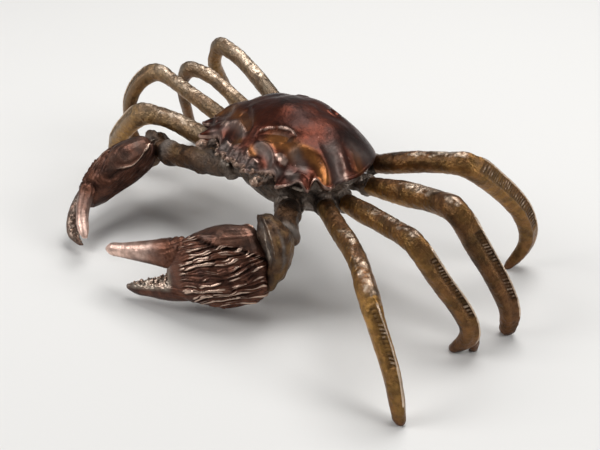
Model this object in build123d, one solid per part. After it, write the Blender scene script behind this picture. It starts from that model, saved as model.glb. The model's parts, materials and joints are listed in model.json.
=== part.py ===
"""Cast bronze crab figurine: a hollow shell on an underbody, with eyes, two arms
that carry wrists and claws, and eight legs, each a casting of its own.

Millimetres. The crab faces -Y, its left side is +X and it stands on Z = 0."""
from build123d import *
from math import cos, exp, hypot, pi, radians, sin
import os

# body
RIM_Z = 29.8              # height of the shell's edge at the front
RIM_TILT = 2.4            # degrees that the shell droops towards the tail
DOME_RISE = 11.1          # top of the shell above its edge
DOME_CENTRE_Y = -2.0      # where the dome is highest
LIP_DROP = 1.4            # how far the shell's edge hangs below the rim plane
SHELL_WALL = 1.9
SEAT_DEPTH = 1.0          # how far the underbody's rim enters the shell
BELLY_DEPTH = 12.8        # underbody, from the rim plane to the sternum
BELLY_WALL = 2.4

# limbs
LEG_SIDES = 10            # facets round a leg
LEG_STATIONS = 17         # rings along a leg
KNEE_POINT = 3            # which point of a leg's course is its knee
KNEE = 0.5625             # where the knee stands in the table of a leg's rings
CREST_TURN = 15           # degrees that the lower leg's sharp edge turns towards the tail
TURN_FROM, TURN_TO = 0.5, 0.65      # shares of a leg over which it turns
GIRTH_FROM = 0.2          # share of a leg over which it grows to its own girth
ARM_STATIONS = 7
TENON_R = 1.7             # round spigot on each leg's root
TENON_L = 3.6
ARM_TENON_R = 2.3
ARM_TENON_L = 4.5
CLAW_SIDES = 14
TURNED_SIDES = 16         # facets round an eye or a coxa
EYE_STALK_R = 1.15
EYE_R = 1.25

UP = Vector(0, 0, 1)

# half outline of the shell's edge, from the middle of the brow to the tail: (x, y)
BROW = [(0, -20.0), (2, -21.2), (4, -19.9), (6, -21.3), (7.8, -19.4)]
ORBIT = [(10, -17.8), (13.5, -17.5)]
SIDE_TEETH = [(16.6, -20.0), (18.7, -14.8), (22.5, -15.1), (20.6, -11.4), (24.2, -10.3)]
FLANK = [(23.3, -6.4), (23.4, -2.0), (22.3, 2.5), (20.8, 5.6), (18.6, 9.2), (15.2, 12.1),
         (10.5, 14.0), (5.2, 14.9)]
TAIL = (0, 15.2)
EDGE = BROW + ORBIT + SIDE_TEETH + FLANK
# the same front without teeth or orbits, which the dome takes on a little way in
CALM_FRONT = [(0, -19.6), (2, -19.6), (4, -19.6), (6, -19.5), (7.8, -19.2), (10, -18.7), (13.5, -17.6),
              (16.9, -16.2), (19.4, -14.4), (21.4, -12.6), (22.9, -10.6), (24.1, -8.9)]
TOOTH_DEPTH = 0.16        # share of the way in over which the teeth melt into the dome
RELIEF_DEPTH = 0.2        # share of the way in over which the relief rises to its full height
# the edge arches up over each orbit and between the side teeth: (place), reach, rise
ARCHES = [((11.8, -17.6), 2.2, 0.7), ((18.7, -14.9), 1.7, 1.0), ((20.8, -11.4), 1.4, 1.5)]
# the dome's outline turns into an ellipse with these half axes, from one share of the way in to another
ROUND_X, ROUND_Y = 23.4, 17.4
ROUND_FROM, ROUND_TO = 0.9, 0.4
# relief on each half of the dome: a fold's curve, its height and its reach to either side
FOLDS = {
    "arch": ([(0.4, -15.4), (1.6, -13.5), (4.2, -11.5), (6.8, -9.9), (9.4, -9.2), (10.8, -9.2)], 0.6, 1.5),
    "crescent": ([(1.8, -16.4), (3.6, -15.5), (6.2, -15.0), (8.8, -15.2), (10.8, -16.6)], 0.7, 0.9),
    "lobe": ([(11.6, -13.4), (13.6, -10.8), (16.4, -8.8), (19.2, -8.1), (23.6, -9.8)], 0.7, 1.5),
    "side groove": ([(10.6, -7.4), (8.2, -4.2), (7.0, -0.5), (8.4, 4.0), (12.0, 8.0)], -0.5, 1.9),
}
# swells and dishes on the dome: (place), reach across, reach along, height
SWELLS = [((0, -5.6), 4.6, 4.2, 0.5), ((14.6, 1.6), 4.4, 3.8, 0.4), ((0, 7.0), 4.2, 3.0, 0.4),
          ((4.2, -17.3), 1.7, 1.0, -0.5), ((17.0, -11.8), 3.0, 1.6, -0.8), ((8.6, -12.8), 3.0, 1.3, -0.5)]

# the same outline without teeth or orbits, for the opening under the shell
SMOOTH = [(0, -17.3), (5, -17.2), (10.4, -15.8), (15.2, -13.4), (19.4, -10.2), (21.9, -6.2),
          (21.6, -1.6), (19.9, 3.0), (17.4, 7.2), (13.4, 10.6), (7.6, 12.6)]
SMOOTH_TAIL = (0, 13.1)

# a leg's course, from the end of its coxa to its foot: (x, y, z)
LEG_PATHS = {
    "leg_left_1": [(20.5, -8.2, 22.3), (32.5, -13.5, 23.3), (47, -20, 24.2), (54.5, -23.9, 21.6),
                   (60.5, -25.5, 16.4), (65.2, -26.4, 9.8), (68.8, -27, 0)],
    "leg_left_2": [(21.2, -2.3, 21.6), (31, -4, 23.4), (42.5, -5.2, 25.4), (48.8, -6, 25.2),
                   (54.4, -3.9, 19.1), (59.8, -1.3, 12.2), (62.2, -0.2, 6.6), (59.2, -1.5, 0)],
    "leg_left_3": [(20.2, 6.0, 22.7), (29, 6.6, 24.9), (41, 7.6, 27.8), (48.4, 6.8, 28.4),
                   (53.5, 8.6, 22.7), (59.1, 11, 14.3), (62.6, 12.5, 6.6), (62.6, 12.5, 0)],
    "leg_left_4": [(16.6, 11.6, 25.4), (23.1, 12.9, 28), (34, 17.0, 31.8), (39, 18.8, 32.2),
                   (42.9, 27.6, 25.3), (46.2, 35.3, 15.2), (46.8, 37.1, 7.0), (45, 32.9, 0)],
    "leg_right_1": [(-20.5, -8.8, 22.0), (-29.5, -12.2, 22.4), (-40.3, -16.2, 24.8), (-46, -19.7, 24.2),
                    (-52, -22.6, 19.4), (-57.2, -23.9, 13.0), (-60.0, -23.6, 7.0), (-62, -22, 0)],
    "leg_right_2": [(-21.2, -2.0, 22.0), (-34.6, -4.2, 25.6), (-50.6, -7.1, 29.8), (-56.6, -8.6, 30.3),
                    (-61.9, -12.2, 26.6), (-65.2, -14.6, 19.0), (-66.5, -14, 9.0), (-65, -10.5, 0)],
    "leg_right_3": [(-20.0, 5.2, 22.8), (-33.8, 3.4, 26.9), (-47.2, 1.2, 31.2), (-51.6, -0.2, 30.7),
                    (-56.2, -0.7, 26.6), (-60.0, 1.6, 17.0), (-62.4, 4.6, 8.0), (-63, 7, 0)],
    "leg_right_4": [(-16.6, 10.6, 24.9), (-30, 10.8, 30.0), (-45.4, 10.6, 35.6), (-50.8, 9.8, 35.5),
                    (-54.6, 9.8, 31.2), (-57.4, 13.0, 23.4), (-59.2, 19.5, 12), (-58, 24, 0)],
}
# how thick each leg is beside the table of sizes
LEG_GIRTH = {"leg_left_1": 1.0, "leg_left_2": 1.04, "leg_left_3": 1.18, "leg_left_4": 1.1,
             "leg_right_1": 1.12, "leg_right_2": 0.92, "leg_right_3": 0.86, "leg_right_4": 0.95}
# rings along a limb: (share of its length, width across, depth, how sharp its outer edge is,
# how far its middle stands out)
LEG_SIZES = [(0, 4.5, 4.6, 0, 0), (0.25, 4.5, 5.3, 0, 0), (0.5, 4.6, 5.2, 0.15, 0.1),
             (KNEE, 4.7, 5.9, 0.3, 0.9), (0.625, 4.3, 5.5, 0.55, 0.2), (0.8, 3.8, 5.0, 0.7, 0),
             (0.93, 3.3, 4.0, 0.45, 0), (1, 2.7, 2.9, 0.1, 0)]
# the second toe of one foot: its root inside the leg and its tip on the ground
TOE = [(62.0, -0.2, 7.6), (62.6, 1.2, 3.6), (61.9, 2.1, 0)]
TOE_SIDES, TOE_STATIONS = 8, 5
TOE_SIZES = [(0, 2.6, 3.0, 0, 0), (0.5, 2.4, 2.7, 0, 0), (1, 1.8, 2.0, 0, 0)]

# a claw's rings in its own axes: (along, middle height, half height, half thickness, middle outwards)
PALM = [(3, 0, 9.6, 4.8, 0), (8, -0.3, 10.1, 5.3, 0), (13, -0.5, 8.9, 4.9, 0), (17, -0.9, 7.7, 4.2, 0),
        (20, -1.7, 5.2, 2.9, 0), (22, -2.4, 2.4, 1.6, 0)]
LONG_REAR = [(-3.2, -1.4, 4.4, 2.2, 0), (-1, -0.3, 7.8, 3.8, 0)]
SHORT_REAR = [(-2.2, -0.8, 4.6, 2.2, 0), (-0.6, -0.2, 7.6, 3.6, 0)]
UPPER_STRAIGHT = [(15, 2.7, 4.4, 3.2, 0), (21, 2.9, 3.8, 2.9, 0), (26, 3.1, 3.0, 2.5, 0), (31.4, 3.2, 2.3, 2.0, 0),
                  (36.4, 3.3, 1.75, 1.6, 0), (38.8, 3.4, 1.25, 1.15, 0), (39.7, 3.4, 0.6, 0.6, 0)]
LOWER_STRAIGHT = [(14, -5.0, 3.4, 3.2, 0), (22.5, -5.7, 3.1, 2.7, 0), (28.5, -6.0, 2.0, 2.0, 0),
                  (32, -6.1, 1.4, 1.4, 0), (34.5, -5.8, 0.6, 0.6, 0)]
UPPER_BENT = [(12.5, 1.4, 4.0, 2.9, 2.2), (19, 1.6, 3.2, 2.3, 2.0), (24, 2.0, 2.6, 1.9, 1.3),
              (29, 2.8, 2.0, 1.6, 0.6), (33, 3.7, 1.4, 1.2, 0), (34.6, 4.2, 0.6, 0.6, -0.2)]
LOWER_BENT = [(14, -5.0, 3.4, 3.2, 0.8), (20, -5.5, 3.2, 2.6, 1.7), (25, -5.8, 2.5, 2.1, 2.1),
              (29, -5.5, 1.9, 1.7, 2.0), (32, -4.7, 1.4, 1.4, 1.0), (34, -3.6, 0.7, 0.7, -0.4)]
# teeth on the lower finger's biting edge: (along, height of the edge, size, middle outwards)
BITE_STRAIGHT = [(20.5, -2.9, 1.5, 0), (23.5, -3.2, 1.3, 0), (26.3, -3.8, 1.1, 0), (28.8, -4.5, 0.9, 0)]
BITE_BENT = [(20.5, -2.9, 1.5, 1.7), (23.5, -3.4, 1.3, 2.0), (26.3, -3.9, 1.1, 2.1)]
# a wrist's rings up the claw's height: (height, middle along, half length, half thickness)
WRIST_TALL = [(-6.0, -2.8, 0.9, 1.6), (-3.6, -4.2, 1.9, 2.8), (-1, -5.2, 2.6, 3.8), (2, -5.8, 3.1, 4.4),
              (6, -5.5, 3.6, 4.6), (9.4, -4.4, 3.0, 3.8), (11.8, -3.0, 1.4, 2.0)]
WRIST_LOW = [(-6.5, -1.8, 1.6, 2.6), (-3, -3.0, 3.0, 3.8), (0.5, -4.2, 3.8, 4.4), (3.4, -4.6, 3.2, 3.8),
             (5.2, -4.0, 1.6, 2.2)]
BEND_FROM = 6.0           # the claw curves inward past this distance from its base
BEND_SPAN = 31.0          # and over this length

# a claw's place: base point, direction of its length, roll towards the body, inward bend,
# scale of its height, side, and the rings of its pieces
CLAWS = {
    "left": dict(base=(20.7, -28.8, 14.0), along=(-0.72, -0.68, -0.13), roll=20, bend=18, height=1.0,
                 side=1, wrist=WRIST_TALL, palm=LONG_REAR + PALM, upper=UPPER_STRAIGHT, lower=LOWER_STRAIGHT,
                 bite=BITE_STRAIGHT),
    "right": dict(base=(-40.0, -24.0, 16.2), along=(0.12, -0.98, -0.12), roll=38, bend=62, height=0.86,
                  side=-1, wrist=WRIST_LOW, palm=SHORT_REAR + PALM, upper=UPPER_BENT, lower=LOWER_BENT,
                  bite=BITE_BENT),
}
# an arm's course from its coxa to its wrist, and its ring sizes
ARM_PATHS = {
    "left": [(13.2, -13.4, 20.2), (17.9, -17.6, 20.6), (21.6, -21.0, 19.6), (22.8, -23.4, 18.8)],
    "right": [(-13.4, -13.2, 20.2), (-21.5, -17.2, 19.8), (-31.5, -19.6, 18.2), (-37.4, -20.4, 17.4)],
}
ARM_SIZES = [(0, 6.0, 6.0, 0, 0), (0.35, 6.4, 7.2, 0.1, 0), (0.62, 5.6, 6.2, 0, 0), (0.8, 6.4, 6.8, 0.2, 0),
             (1, 4.8, 5.2, 0, 0)]

# one of the two mouth plates under the brow: (x, depth below the rim) round its edge
MOUTH_PLATE = [(0.35, -2.2), (4.6, -2.2), (5.2, -4.6), (4.0, -7.6), (0.35, -8.2)]
MOUTH_Y = -17.9           # front of the plates at the rim
MOUTH_SLOPE = 0.33        # how far they lean back, a millimetre down
MOUTH_THICK = 3.0         # so that they run into the underbody's wall

COXA_MARGIN = 1.12        # a coxa's radius over its limb's
COXA_INSET = 0.27         # how far a coxa reaches back towards the body's middle, as a share


def mirrored(half, tail):
    """closed outline from its +X half, starting at the middle of the front"""
    back = [(-x, y) for x, y in reversed(half[1:])]
    return half + [tail] + back


def facet(*corners):
    return Face(Wire.make_polygon(corners))


def skin(rings):
    """closed solid of flat triangular facets stretched over rings with equal numbers of points"""
    faces = []
    for near, far in zip(rings, rings[1:]):
        for k in range(len(near)):
            a, b, c, d = near[k - 1], near[k], far[k], far[k - 1]
            if (a - c).length < (b - d).length:
                faces += [facet(a, b, c), facet(a, c, d)]
            else:
                faces += [facet(a, b, d), facet(b, c, d)]
    for end in (rings[0], rings[-1]):
        middle = sum(end, Vector()) / len(end)
        faces += [facet(end[k - 1], end[k], middle) for k in range(len(end))]
    return Solid(Shell(faces))


def ring(outline, share, height):
    """one level outline of the body, drawn in towards the dome's middle"""
    return [Vector(x * share, DOME_CENTRE_Y + (y - DOME_CENTRE_Y) * share, height) for x, y in outline]


def dome_height(share, rise):
    return rise * (1 - share ** 2.15) ** 0.95


def distance_to(curve, x, y):
    """distance from a place to a line through points"""
    nearest = []
    for (ax, ay), (bx, by) in zip(curve, curve[1:]):
        ex, ey = bx - ax, by - ay
        k = min(1, max(0, ((x - ax) * ex + (y - ay) * ey) / (ex * ex + ey * ey)))
        nearest.append(hypot(x - ax - k * ex, y - ay - k * ey))
    return min(nearest)


def relief(x, y):
    """height that the folds, swells and dishes add to the dome, the same on both halves"""
    x = abs(x)
    folds = sum(height * exp(-(distance_to(curve, x, y) / reach) ** 2) for curve, height, reach in FOLDS.values())
    swells = sum(height * exp(-((x - cx) / across) ** 2 - ((y - cy) / along) ** 2)
                 for (cx, cy), across, along, height in SWELLS)
    return folds + swells


def edge_rise(x, y):
    return sum(rise * exp(-((abs(x) - cx) ** 2 + (y - cy) ** 2) / reach ** 2) for (cx, cy), reach, rise in ARCHES)


def rounded(outline, share):
    """the dome's outline, drawn towards an ellipse higher up"""
    k = min(1, max(0, (ROUND_FROM - share) / (ROUND_FROM - ROUND_TO)))
    points = []
    for x, y in outline:
        y -= DOME_CENTRE_Y
        stretch = 1 - k + k / hypot(x / ROUND_X, y / ROUND_Y)
        points.append((x * stretch, DOME_CENTRE_Y + y * stretch))
    return points


def shell_ring(share, height):
    """one ring of the shell: toothed and arched near its edge, with relief on the dome"""
    keep = max(0.0, 1 - (1 - share) / TOOTH_DEPTH)
    outline = rounded(blended(keep), share)
    points = []
    for flat, (edge_x, edge_y) in zip(ring(outline, share, height), mirrored(EDGE, TAIL)):
        raised = edge_rise(edge_x, edge_y) * keep + relief(flat.X, flat.Y) * min(1, (1 - share) / RELIEF_DEPTH)
        points.append(flat + UP * raised)
    return points


def tilted(shape):
    """set a body piece at the rim's height, tipped towards the tail"""
    return Pos(0, 0, RIM_Z) * Pos(0, -20, 0) * Rot(-RIM_TILT, 0, 0) * Pos(0, 20, 0) * shape


def blended(keep):
    """shell outline that loses its teeth and orbits as keep falls from 1 to 0"""
    return [(a * keep + c * (1 - keep), b * keep + d * (1 - keep))
            for (a, b), (c, d) in zip(mirrored(EDGE, TAIL), mirrored(CALM_FRONT + FLANK, TAIL))]


def make_carapace():
    """hollow domed shell with brow, orbits, side teeth and a pocket that seats on the underbody"""
    levels = [(0.955, -LIP_DROP), (1.0, -0.3)]
    levels += [(s, dome_height(s, DOME_RISE)) for s in (0.975, 0.925, 0.87, 0.81, 0.75, 0.69, 0.62, 0.54,
                                                        0.45, 0.34, 0.2, 0.07)]
    outer = skin([shell_ring(s, z) for s, z in levels])
    smooth = mirrored(SMOOTH, SMOOTH_TAIL)
    pocket = skin([ring(smooth, 1, -LIP_DROP - 1), ring(smooth, 1, SEAT_DEPTH)])
    inner_rise = DOME_RISE - SHELL_WALL
    inner = [(0.93, 0.2)] + [(s * 0.93, dome_height(s, inner_rise)) for s in (0.9, 0.75, 0.5, 0.2)]
    hollow = skin([ring(smooth, s, z) for s, z in inner])
    return tilted(outer - pocket - hollow)


def make_belly(coxae):
    """tray-shaped underbody with a raised tail flap, coxae and the limbs' sockets"""
    smooth = mirrored(SMOOTH, SMOOTH_TAIL)
    walls = [(1, SEAT_DEPTH), (1, -LIP_DROP), (0.965, -LIP_DROP - 1.2), (0.88, -6.4), (0.77, -10.0),
             (0.62, -BELLY_DEPTH)]
    tray = skin([ring(smooth, s, z) for s, z in walls])
    room = [(0.88, SEAT_DEPTH + 1), (0.86, -LIP_DROP), (0.74, -7.0), (0.5, BELLY_WALL - BELLY_DEPTH)]
    tray -= skin([ring(smooth, s, z) for s, z in room])
    flap_outline = [(0, -7.5), (3.2, -3), (5.4, 2.5), (4.4, 6.6), (-4.4, 6.6), (-5.4, 2.5), (-3.2, -3)]
    flap = Pos(0, 0, -BELLY_DEPTH - 0.7) * extrude(make_face(Polyline(*flap_outline, close=True)), 1.2)
    for side in (1, -1):
        plate = [[Vector(side * x, MOUTH_Y - z * MOUTH_SLOPE + back, z) for x, z in MOUTH_PLATE]
                 for back in (0, MOUTH_THICK)]
        tray += skin(plate)
    body = tilted(tray) + tilted(flap)
    for start, radius in coxae:
        inset = (start - Vector(0, DOME_CENTRE_Y, start.Z + 1.5)) * COXA_INSET
        body += turned([(0, radius * 0.9), (inset.length, radius)], start - inset, inset)
    return body


def stations(path, shares):
    """points and directions at shares of a smooth course"""
    return [(path @ share, path % share) for share in shares]


def size_at(sizes, share):
    """width, depth, sharpness and stand-out read between the listed rings"""
    for (start, *low), (end, *high) in zip(sizes, sizes[1:]):
        if share <= end:
            k = (share - start) / (end - start)
            return [a + (b - a) * k for a, b in zip(low, high)]
    return sizes[-1][1:]


def turns(sides):
    """angles of the corners round a section"""
    return [2 * pi * (k + 0.5) / sides for k in range(sides)]


def limb(points, sizes, sides, count, level_end=False):
    """faceted limb along a smooth course, oval in section"""
    course = stations(Spline(*points), [i / (count - 1) for i in range(count)])
    if level_end:
        course[-1] = (course[-1][0], -UP)
    return limb_skin(course, sizes, sides)


def leg(name):
    """leg that bends at its knee, with the lower part's sharp edge turned towards the tail"""
    points = LEG_PATHS[name]
    path = Spline(*points)
    knee = path.param_at_point(Vector(*points[KNEE_POINT]))
    shares = [i / (LEG_STATIONS - 1) for i in range(LEG_STATIONS)]
    along = [s / KNEE * knee if s < KNEE else knee + (s - KNEE) / (1 - KNEE) * (1 - knee) for s in shares]
    course = stations(path, along)
    course[-1] = (course[-1][0], -UP)
    turn = radians(CREST_TURN) * (-1 if "left" in name else 1)
    return limb_skin(course, LEG_SIZES, LEG_SIDES, turn, LEG_GIRTH[name])


def limb_skin(course, sizes, sides, turn=0, girth=1):
    """facets over a course of points and directions; sections may turn past the middle"""
    across = UP.cross(course[0][1])
    rings = []
    for i, (at, along) in enumerate(course):
        across = (across - along * across.dot(along)).normalized()
        plane = Plane(origin=at, x_dir=across, z_dir=along)
        share = i / (len(course) - 1)
        swell = 1 + (girth - 1) * min(1, share / GIRTH_FROM)
        width, depth, edge, lift = size_at(sizes, share)
        twist = turn * min(1, max(0, (share - TURN_FROM) / (TURN_TO - TURN_FROM)))
        section = []
        for t in turns(sides):
            x = width / 2 * cos(t) * (1 - edge * max(0, sin(t))) * swell
            y = (depth / 2 * sin(t) + lift) * swell
            section.append((x * cos(twist) - y * sin(twist), x * sin(twist) + y * cos(twist)))
        rings.append([plane.from_local_coords(point) for point in section])
    return skin(rings)


def turned(profile, origin, along):
    """turned form with flats: its profile lists (distance along, radius)"""
    plane = Plane(origin=origin, z_dir=along)
    return skin([[plane.from_local_coords((radius * cos(t), radius * sin(t), distance))
                  for t in turns(TURNED_SIDES)] for distance, radius in profile])


def spigot(points, radius, length, into=0.6):
    """round tenon that runs back from a limb's root"""
    start, nxt = Vector(*points[0]), Vector(*points[1])
    along = (nxt - start).normalized()
    return Solid.make_cylinder(radius, length + into, Plane(origin=start - along * length, z_dir=along))


def claw_axes(claw):
    """along, height and outward directions of a claw"""
    along = Vector(*claw["along"]).normalized()
    level = along.cross(UP).normalized() * -claw["side"]
    rise = level.cross(along).normalized()
    if rise.Z < 0:
        rise = rise * -1
    roll = radians(claw["roll"])
    return along, rise * cos(roll) - level * sin(roll), level * cos(roll) + rise * sin(roll)


def claw_ring(claw, data, sides=CLAW_SIDES):
    """one cross-section of the claw, turned with its inward bend"""
    along, high, out = claw_axes(claw)
    distance, middle, tall, thick, outward = data
    tall, middle = tall * claw["height"], middle * claw["height"]
    curve = radians(claw["bend"]) / BEND_SPAN
    angle = curve * max(0.0, distance - BEND_FROM)
    base = Vector(*claw["base"])
    if angle > 0:
        base += along * (BEND_FROM + sin(angle) / curve) - out * ((1 - cos(angle)) / curve)
    else:
        base += along * distance
    face = along * sin(angle) + out * cos(angle)
    return [base + high * (middle + tall * sin(t)) + face * (outward + thick * cos(t)) for t in turns(sides)]


def make_finger(claw, rings):
    return skin([claw_ring(claw, r) for r in rings])


def make_bite(claw):
    """blunt teeth along the lower finger"""
    teeth = []
    for distance, height, size, outward in claw["bite"]:
        rows = [(distance - size, height - size, 0.3, 0.5, outward),
                (distance, height - size * 0.6, size * 0.9, 0.8, outward),
                (distance + size, height - size, 0.3, 0.4, outward)]
        teeth.append(skin([claw_ring(claw, r, 6) for r in rows]))
    return teeth


def make_wrist(claw):
    """wedge-shaped wrist, its rings stacked up the claw's height"""
    along, high, out = claw_axes(claw)
    base = Vector(*claw["base"])
    rings = []
    for height, middle, half, thick in claw["wrist"]:
        rings.append([base + high * height + along * (middle + half * cos(t)) + out * (thick * sin(t))
                      for t in turns(CLAW_SIDES)])
    return skin(rings)


def make_eye(side):
    """stalked eye that leans forward out of its orbit"""
    root = Vector(side * 11.9, -16.4, RIM_Z - 1.4)
    tip = Vector(side * 11.7, -23.4, RIM_Z + 0.4)
    along = (tip - root).normalized()
    reach = (tip - root).length
    return turned([(0, EYE_STALK_R), (reach * 0.45, EYE_STALK_R), (reach * 0.62, EYE_STALK_R * 0.75),
                   (reach * 0.74, EYE_R), (reach * 0.88, EYE_R), (reach, EYE_R * 0.6)], root, along)


def write(parts):
    """centre the whole crab on the origin and write one file per piece"""
    os.makedirs("parts", exist_ok=True)
    low, high = Vector(1e3, 1e3, 1e3), Vector(-1e3, -1e3, -1e3)
    for shape in parts.values():
        box = shape.bounding_box()
        low = Vector(min(low.X, box.min.X), min(low.Y, box.min.Y), min(low.Z, box.min.Z))
        high = Vector(max(high.X, box.max.X), max(high.Y, box.max.Y), max(high.Z, box.max.Z))
    shift = Pos(-(low.X + high.X) / 2, -(low.Y + high.Y) / 2, -low.Z)
    print("size", round(high.X - low.X, 1), round(high.Y - low.Y, 1), round(high.Z - low.Z, 1),
          "shift", shift.position)
    for name, shape in parts.items():
        export_step(shift * shape, f"parts/{name}.step")


def main():
    parts = {}
    coxae = []
    for name, points in LEG_PATHS.items():
        parts[name] = leg(name) + spigot(points, TENON_R, TENON_L)
        coxae.append((Vector(*points[0]), LEG_SIZES[0][1] / 2 * COXA_MARGIN))
    parts["leg_left_2"] += limb(TOE, TOE_SIZES, TOE_SIDES, TOE_STATIONS, level_end=True)
    arms = {}
    for side, points in ARM_PATHS.items():
        arms[side] = limb(points, ARM_SIZES, LEG_SIDES, ARM_STATIONS) + spigot(points, ARM_TENON_R, ARM_TENON_L)
        coxae.append((Vector(*points[0]), ARM_SIZES[0][1] / 2 * COXA_MARGIN))
    belly = make_belly(coxae)
    for piece in list(parts.values()) + list(arms.values()):
        belly -= piece
    carapace = make_carapace()
    for side, claw in CLAWS.items():
        palm = make_finger(claw, claw["palm"]) + make_finger(claw, claw["lower"])
        for tooth in make_bite(claw):
            palm += tooth
        finger = make_finger(claw, claw["upper"])
        palm -= finger
        wrist = make_wrist(claw) - palm - arms[side]
        parts["arm_" + side] = arms[side] - palm
        parts["wrist_" + side] = wrist
        parts["claw_" + side] = palm
        parts["finger_" + side] = finger
    for side, sign in (("left", 1), ("right", -1)):
        eye = make_eye(sign)
        carapace -= eye
        belly -= eye
        parts["eye_" + side] = eye
    parts["carapace"] = carapace - belly
    parts["underbody"] = belly
    write(parts)


main()
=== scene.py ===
# %% [markdown]
# # A cast bronze crab
#
# The crab is an ornament put together from castings: a hollow shell, an underbody, stalked eyes,
# arms, wrists, claws and eight legs. Each casting already has a plain solid at its real size. This
# lesson makes the surfaces that are seen: dense meshes drawn through the same sections, with the
# relief, fur and combs that were cut into the metal, and a patina that wears thin on the high spots.

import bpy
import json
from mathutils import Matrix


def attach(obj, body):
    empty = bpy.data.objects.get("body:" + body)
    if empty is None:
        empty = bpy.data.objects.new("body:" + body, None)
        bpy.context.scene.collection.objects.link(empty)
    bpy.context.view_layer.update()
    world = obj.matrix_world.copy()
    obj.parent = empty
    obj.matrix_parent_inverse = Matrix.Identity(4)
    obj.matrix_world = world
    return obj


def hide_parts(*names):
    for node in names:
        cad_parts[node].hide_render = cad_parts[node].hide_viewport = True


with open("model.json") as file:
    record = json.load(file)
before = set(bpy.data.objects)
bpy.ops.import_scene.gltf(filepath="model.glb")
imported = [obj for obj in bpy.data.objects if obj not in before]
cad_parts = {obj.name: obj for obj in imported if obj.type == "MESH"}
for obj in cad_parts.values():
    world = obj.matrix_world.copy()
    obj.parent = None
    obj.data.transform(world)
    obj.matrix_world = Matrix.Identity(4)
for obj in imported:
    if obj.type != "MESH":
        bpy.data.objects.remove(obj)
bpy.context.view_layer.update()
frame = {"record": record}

# %% [markdown]
# ## Working in the crab's own millimetres
#
# Every size below is in millimetres, measured from a point under the middle of the shell: the crab
# faces -Y and its left side is +X. The frame is centred on the whole crab instead, so the shift
# between the two is read from one foot, whose place the record gives as a mount.

# %% Shift from the crab's millimetres to the frame
import json
from itertools import product
from math import cos, pi, radians, sin

import bmesh
import bpy
import numpy as np
from mathutils import Vector

MM = 0.001
LEG_PATHS = {
    "leg_left_1": [(20.5, -8.2, 22.3), (32.5, -13.5, 23.3), (47, -20, 24.2), (54.5, -23.9, 21.6),
                   (60.5, -25.5, 16.4), (65.2, -26.4, 9.8), (68.8, -27, 0)],
    "leg_left_2": [(21.2, -2.3, 21.6), (31, -4, 23.4), (42.5, -5.2, 25.4), (48.8, -6, 25.2),
                   (54.4, -3.9, 19.1), (59.8, -1.3, 12.2), (62.2, -0.2, 6.6), (59.2, -1.5, 0)],
    "leg_left_3": [(20.2, 6.0, 22.7), (29, 6.6, 24.9), (41, 7.6, 27.8), (48.4, 6.8, 28.4),
                   (53.5, 8.6, 22.7), (59.1, 11, 14.3), (62.6, 12.5, 6.6), (62.6, 12.5, 0)],
    "leg_left_4": [(16.6, 11.6, 25.4), (23.1, 12.9, 28), (34, 17.0, 31.8), (39, 18.8, 32.2),
                   (42.9, 27.6, 25.3), (46.2, 35.3, 15.2), (46.8, 37.1, 7.0), (45, 32.9, 0)],
    "leg_right_1": [(-20.5, -8.8, 22.0), (-29.5, -12.2, 22.4), (-40.3, -16.2, 24.8), (-46, -19.7, 24.2),
                    (-52, -22.6, 19.4), (-57.2, -23.9, 13.0), (-60.0, -23.6, 7.0), (-62, -22, 0)],
    "leg_right_2": [(-21.2, -2.0, 22.0), (-34.6, -4.2, 25.6), (-50.6, -7.1, 29.8), (-56.6, -8.6, 30.3),
                    (-61.9, -12.2, 26.6), (-65.2, -14.6, 19.0), (-66.5, -14, 9.0), (-65, -10.5, 0)],
    "leg_right_3": [(-20.0, 5.2, 22.8), (-33.8, 3.4, 26.9), (-47.2, 1.2, 31.2), (-51.6, -0.2, 30.7),
                    (-56.2, -0.7, 26.6), (-60.0, 1.6, 17.0), (-62.4, 4.6, 8.0), (-63, 7, 0)],
    "leg_right_4": [(-16.6, 10.6, 24.9), (-30, 10.8, 30.0), (-45.4, 10.6, 35.6), (-50.8, 9.8, 35.5),
                    (-54.6, 9.8, 31.2), (-57.4, 13.0, 23.4), (-59.2, 19.5, 12), (-58, 24, 0)],
}
foot = next(m for m in frame["record"]["mounts"] if m["name"] == "foot_left_1")["pos_m"]
foot_x, foot_y, _ = LEG_PATHS["leg_left_1"][-1]
SHIFT = np.array([foot[0] / MM - foot_x, foot[1] / MM - foot_y, 0])
print("shift in mm:", SHIFT.round(2))

# %% [markdown]
# ## Camera, floor and light
#
# The camera looks down on the crab from its left front. A long lens close to a small object gives
# the depth that the picture has. The floor is one pale sheet. A big soft lamp overhead and two
# weaker ones at the sides draw the long highlights that show the shape of polished metal.

# %% Camera
VIEW_AZIMUTH, VIEW_ELEVATION = radians(52.31), radians(32.78)
VIEW_DISTANCE = 249.87
VIEW_TARGET = np.array([-3.87, 3.07, 0.0])
LENS, SENSOR_WIDTH = 54, 36
NEAREST = 0.01      # metres in front of the camera at which things come into view


def direction(azimuth, elevation):
    """unit vector from the crab to a place round it: 0 is in front of it, 90 on its left"""
    return np.array([sin(azimuth) * cos(elevation), -cos(azimuth) * cos(elevation), sin(elevation)])


def put_in_scene(name, data):
    """new object, linked to the scene"""
    thing = bpy.data.objects.new(name, data)
    bpy.context.scene.collection.objects.link(thing)
    return thing


def aim(thing, place, target):
    """put a lamp or camera at a place, in crab millimetres, facing a target"""
    thing.location = Vector((place + SHIFT) * MM)
    look = Vector((target - place) * MM)
    thing.rotation_euler = look.to_track_quat("-Z", "Y").to_euler()


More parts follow.
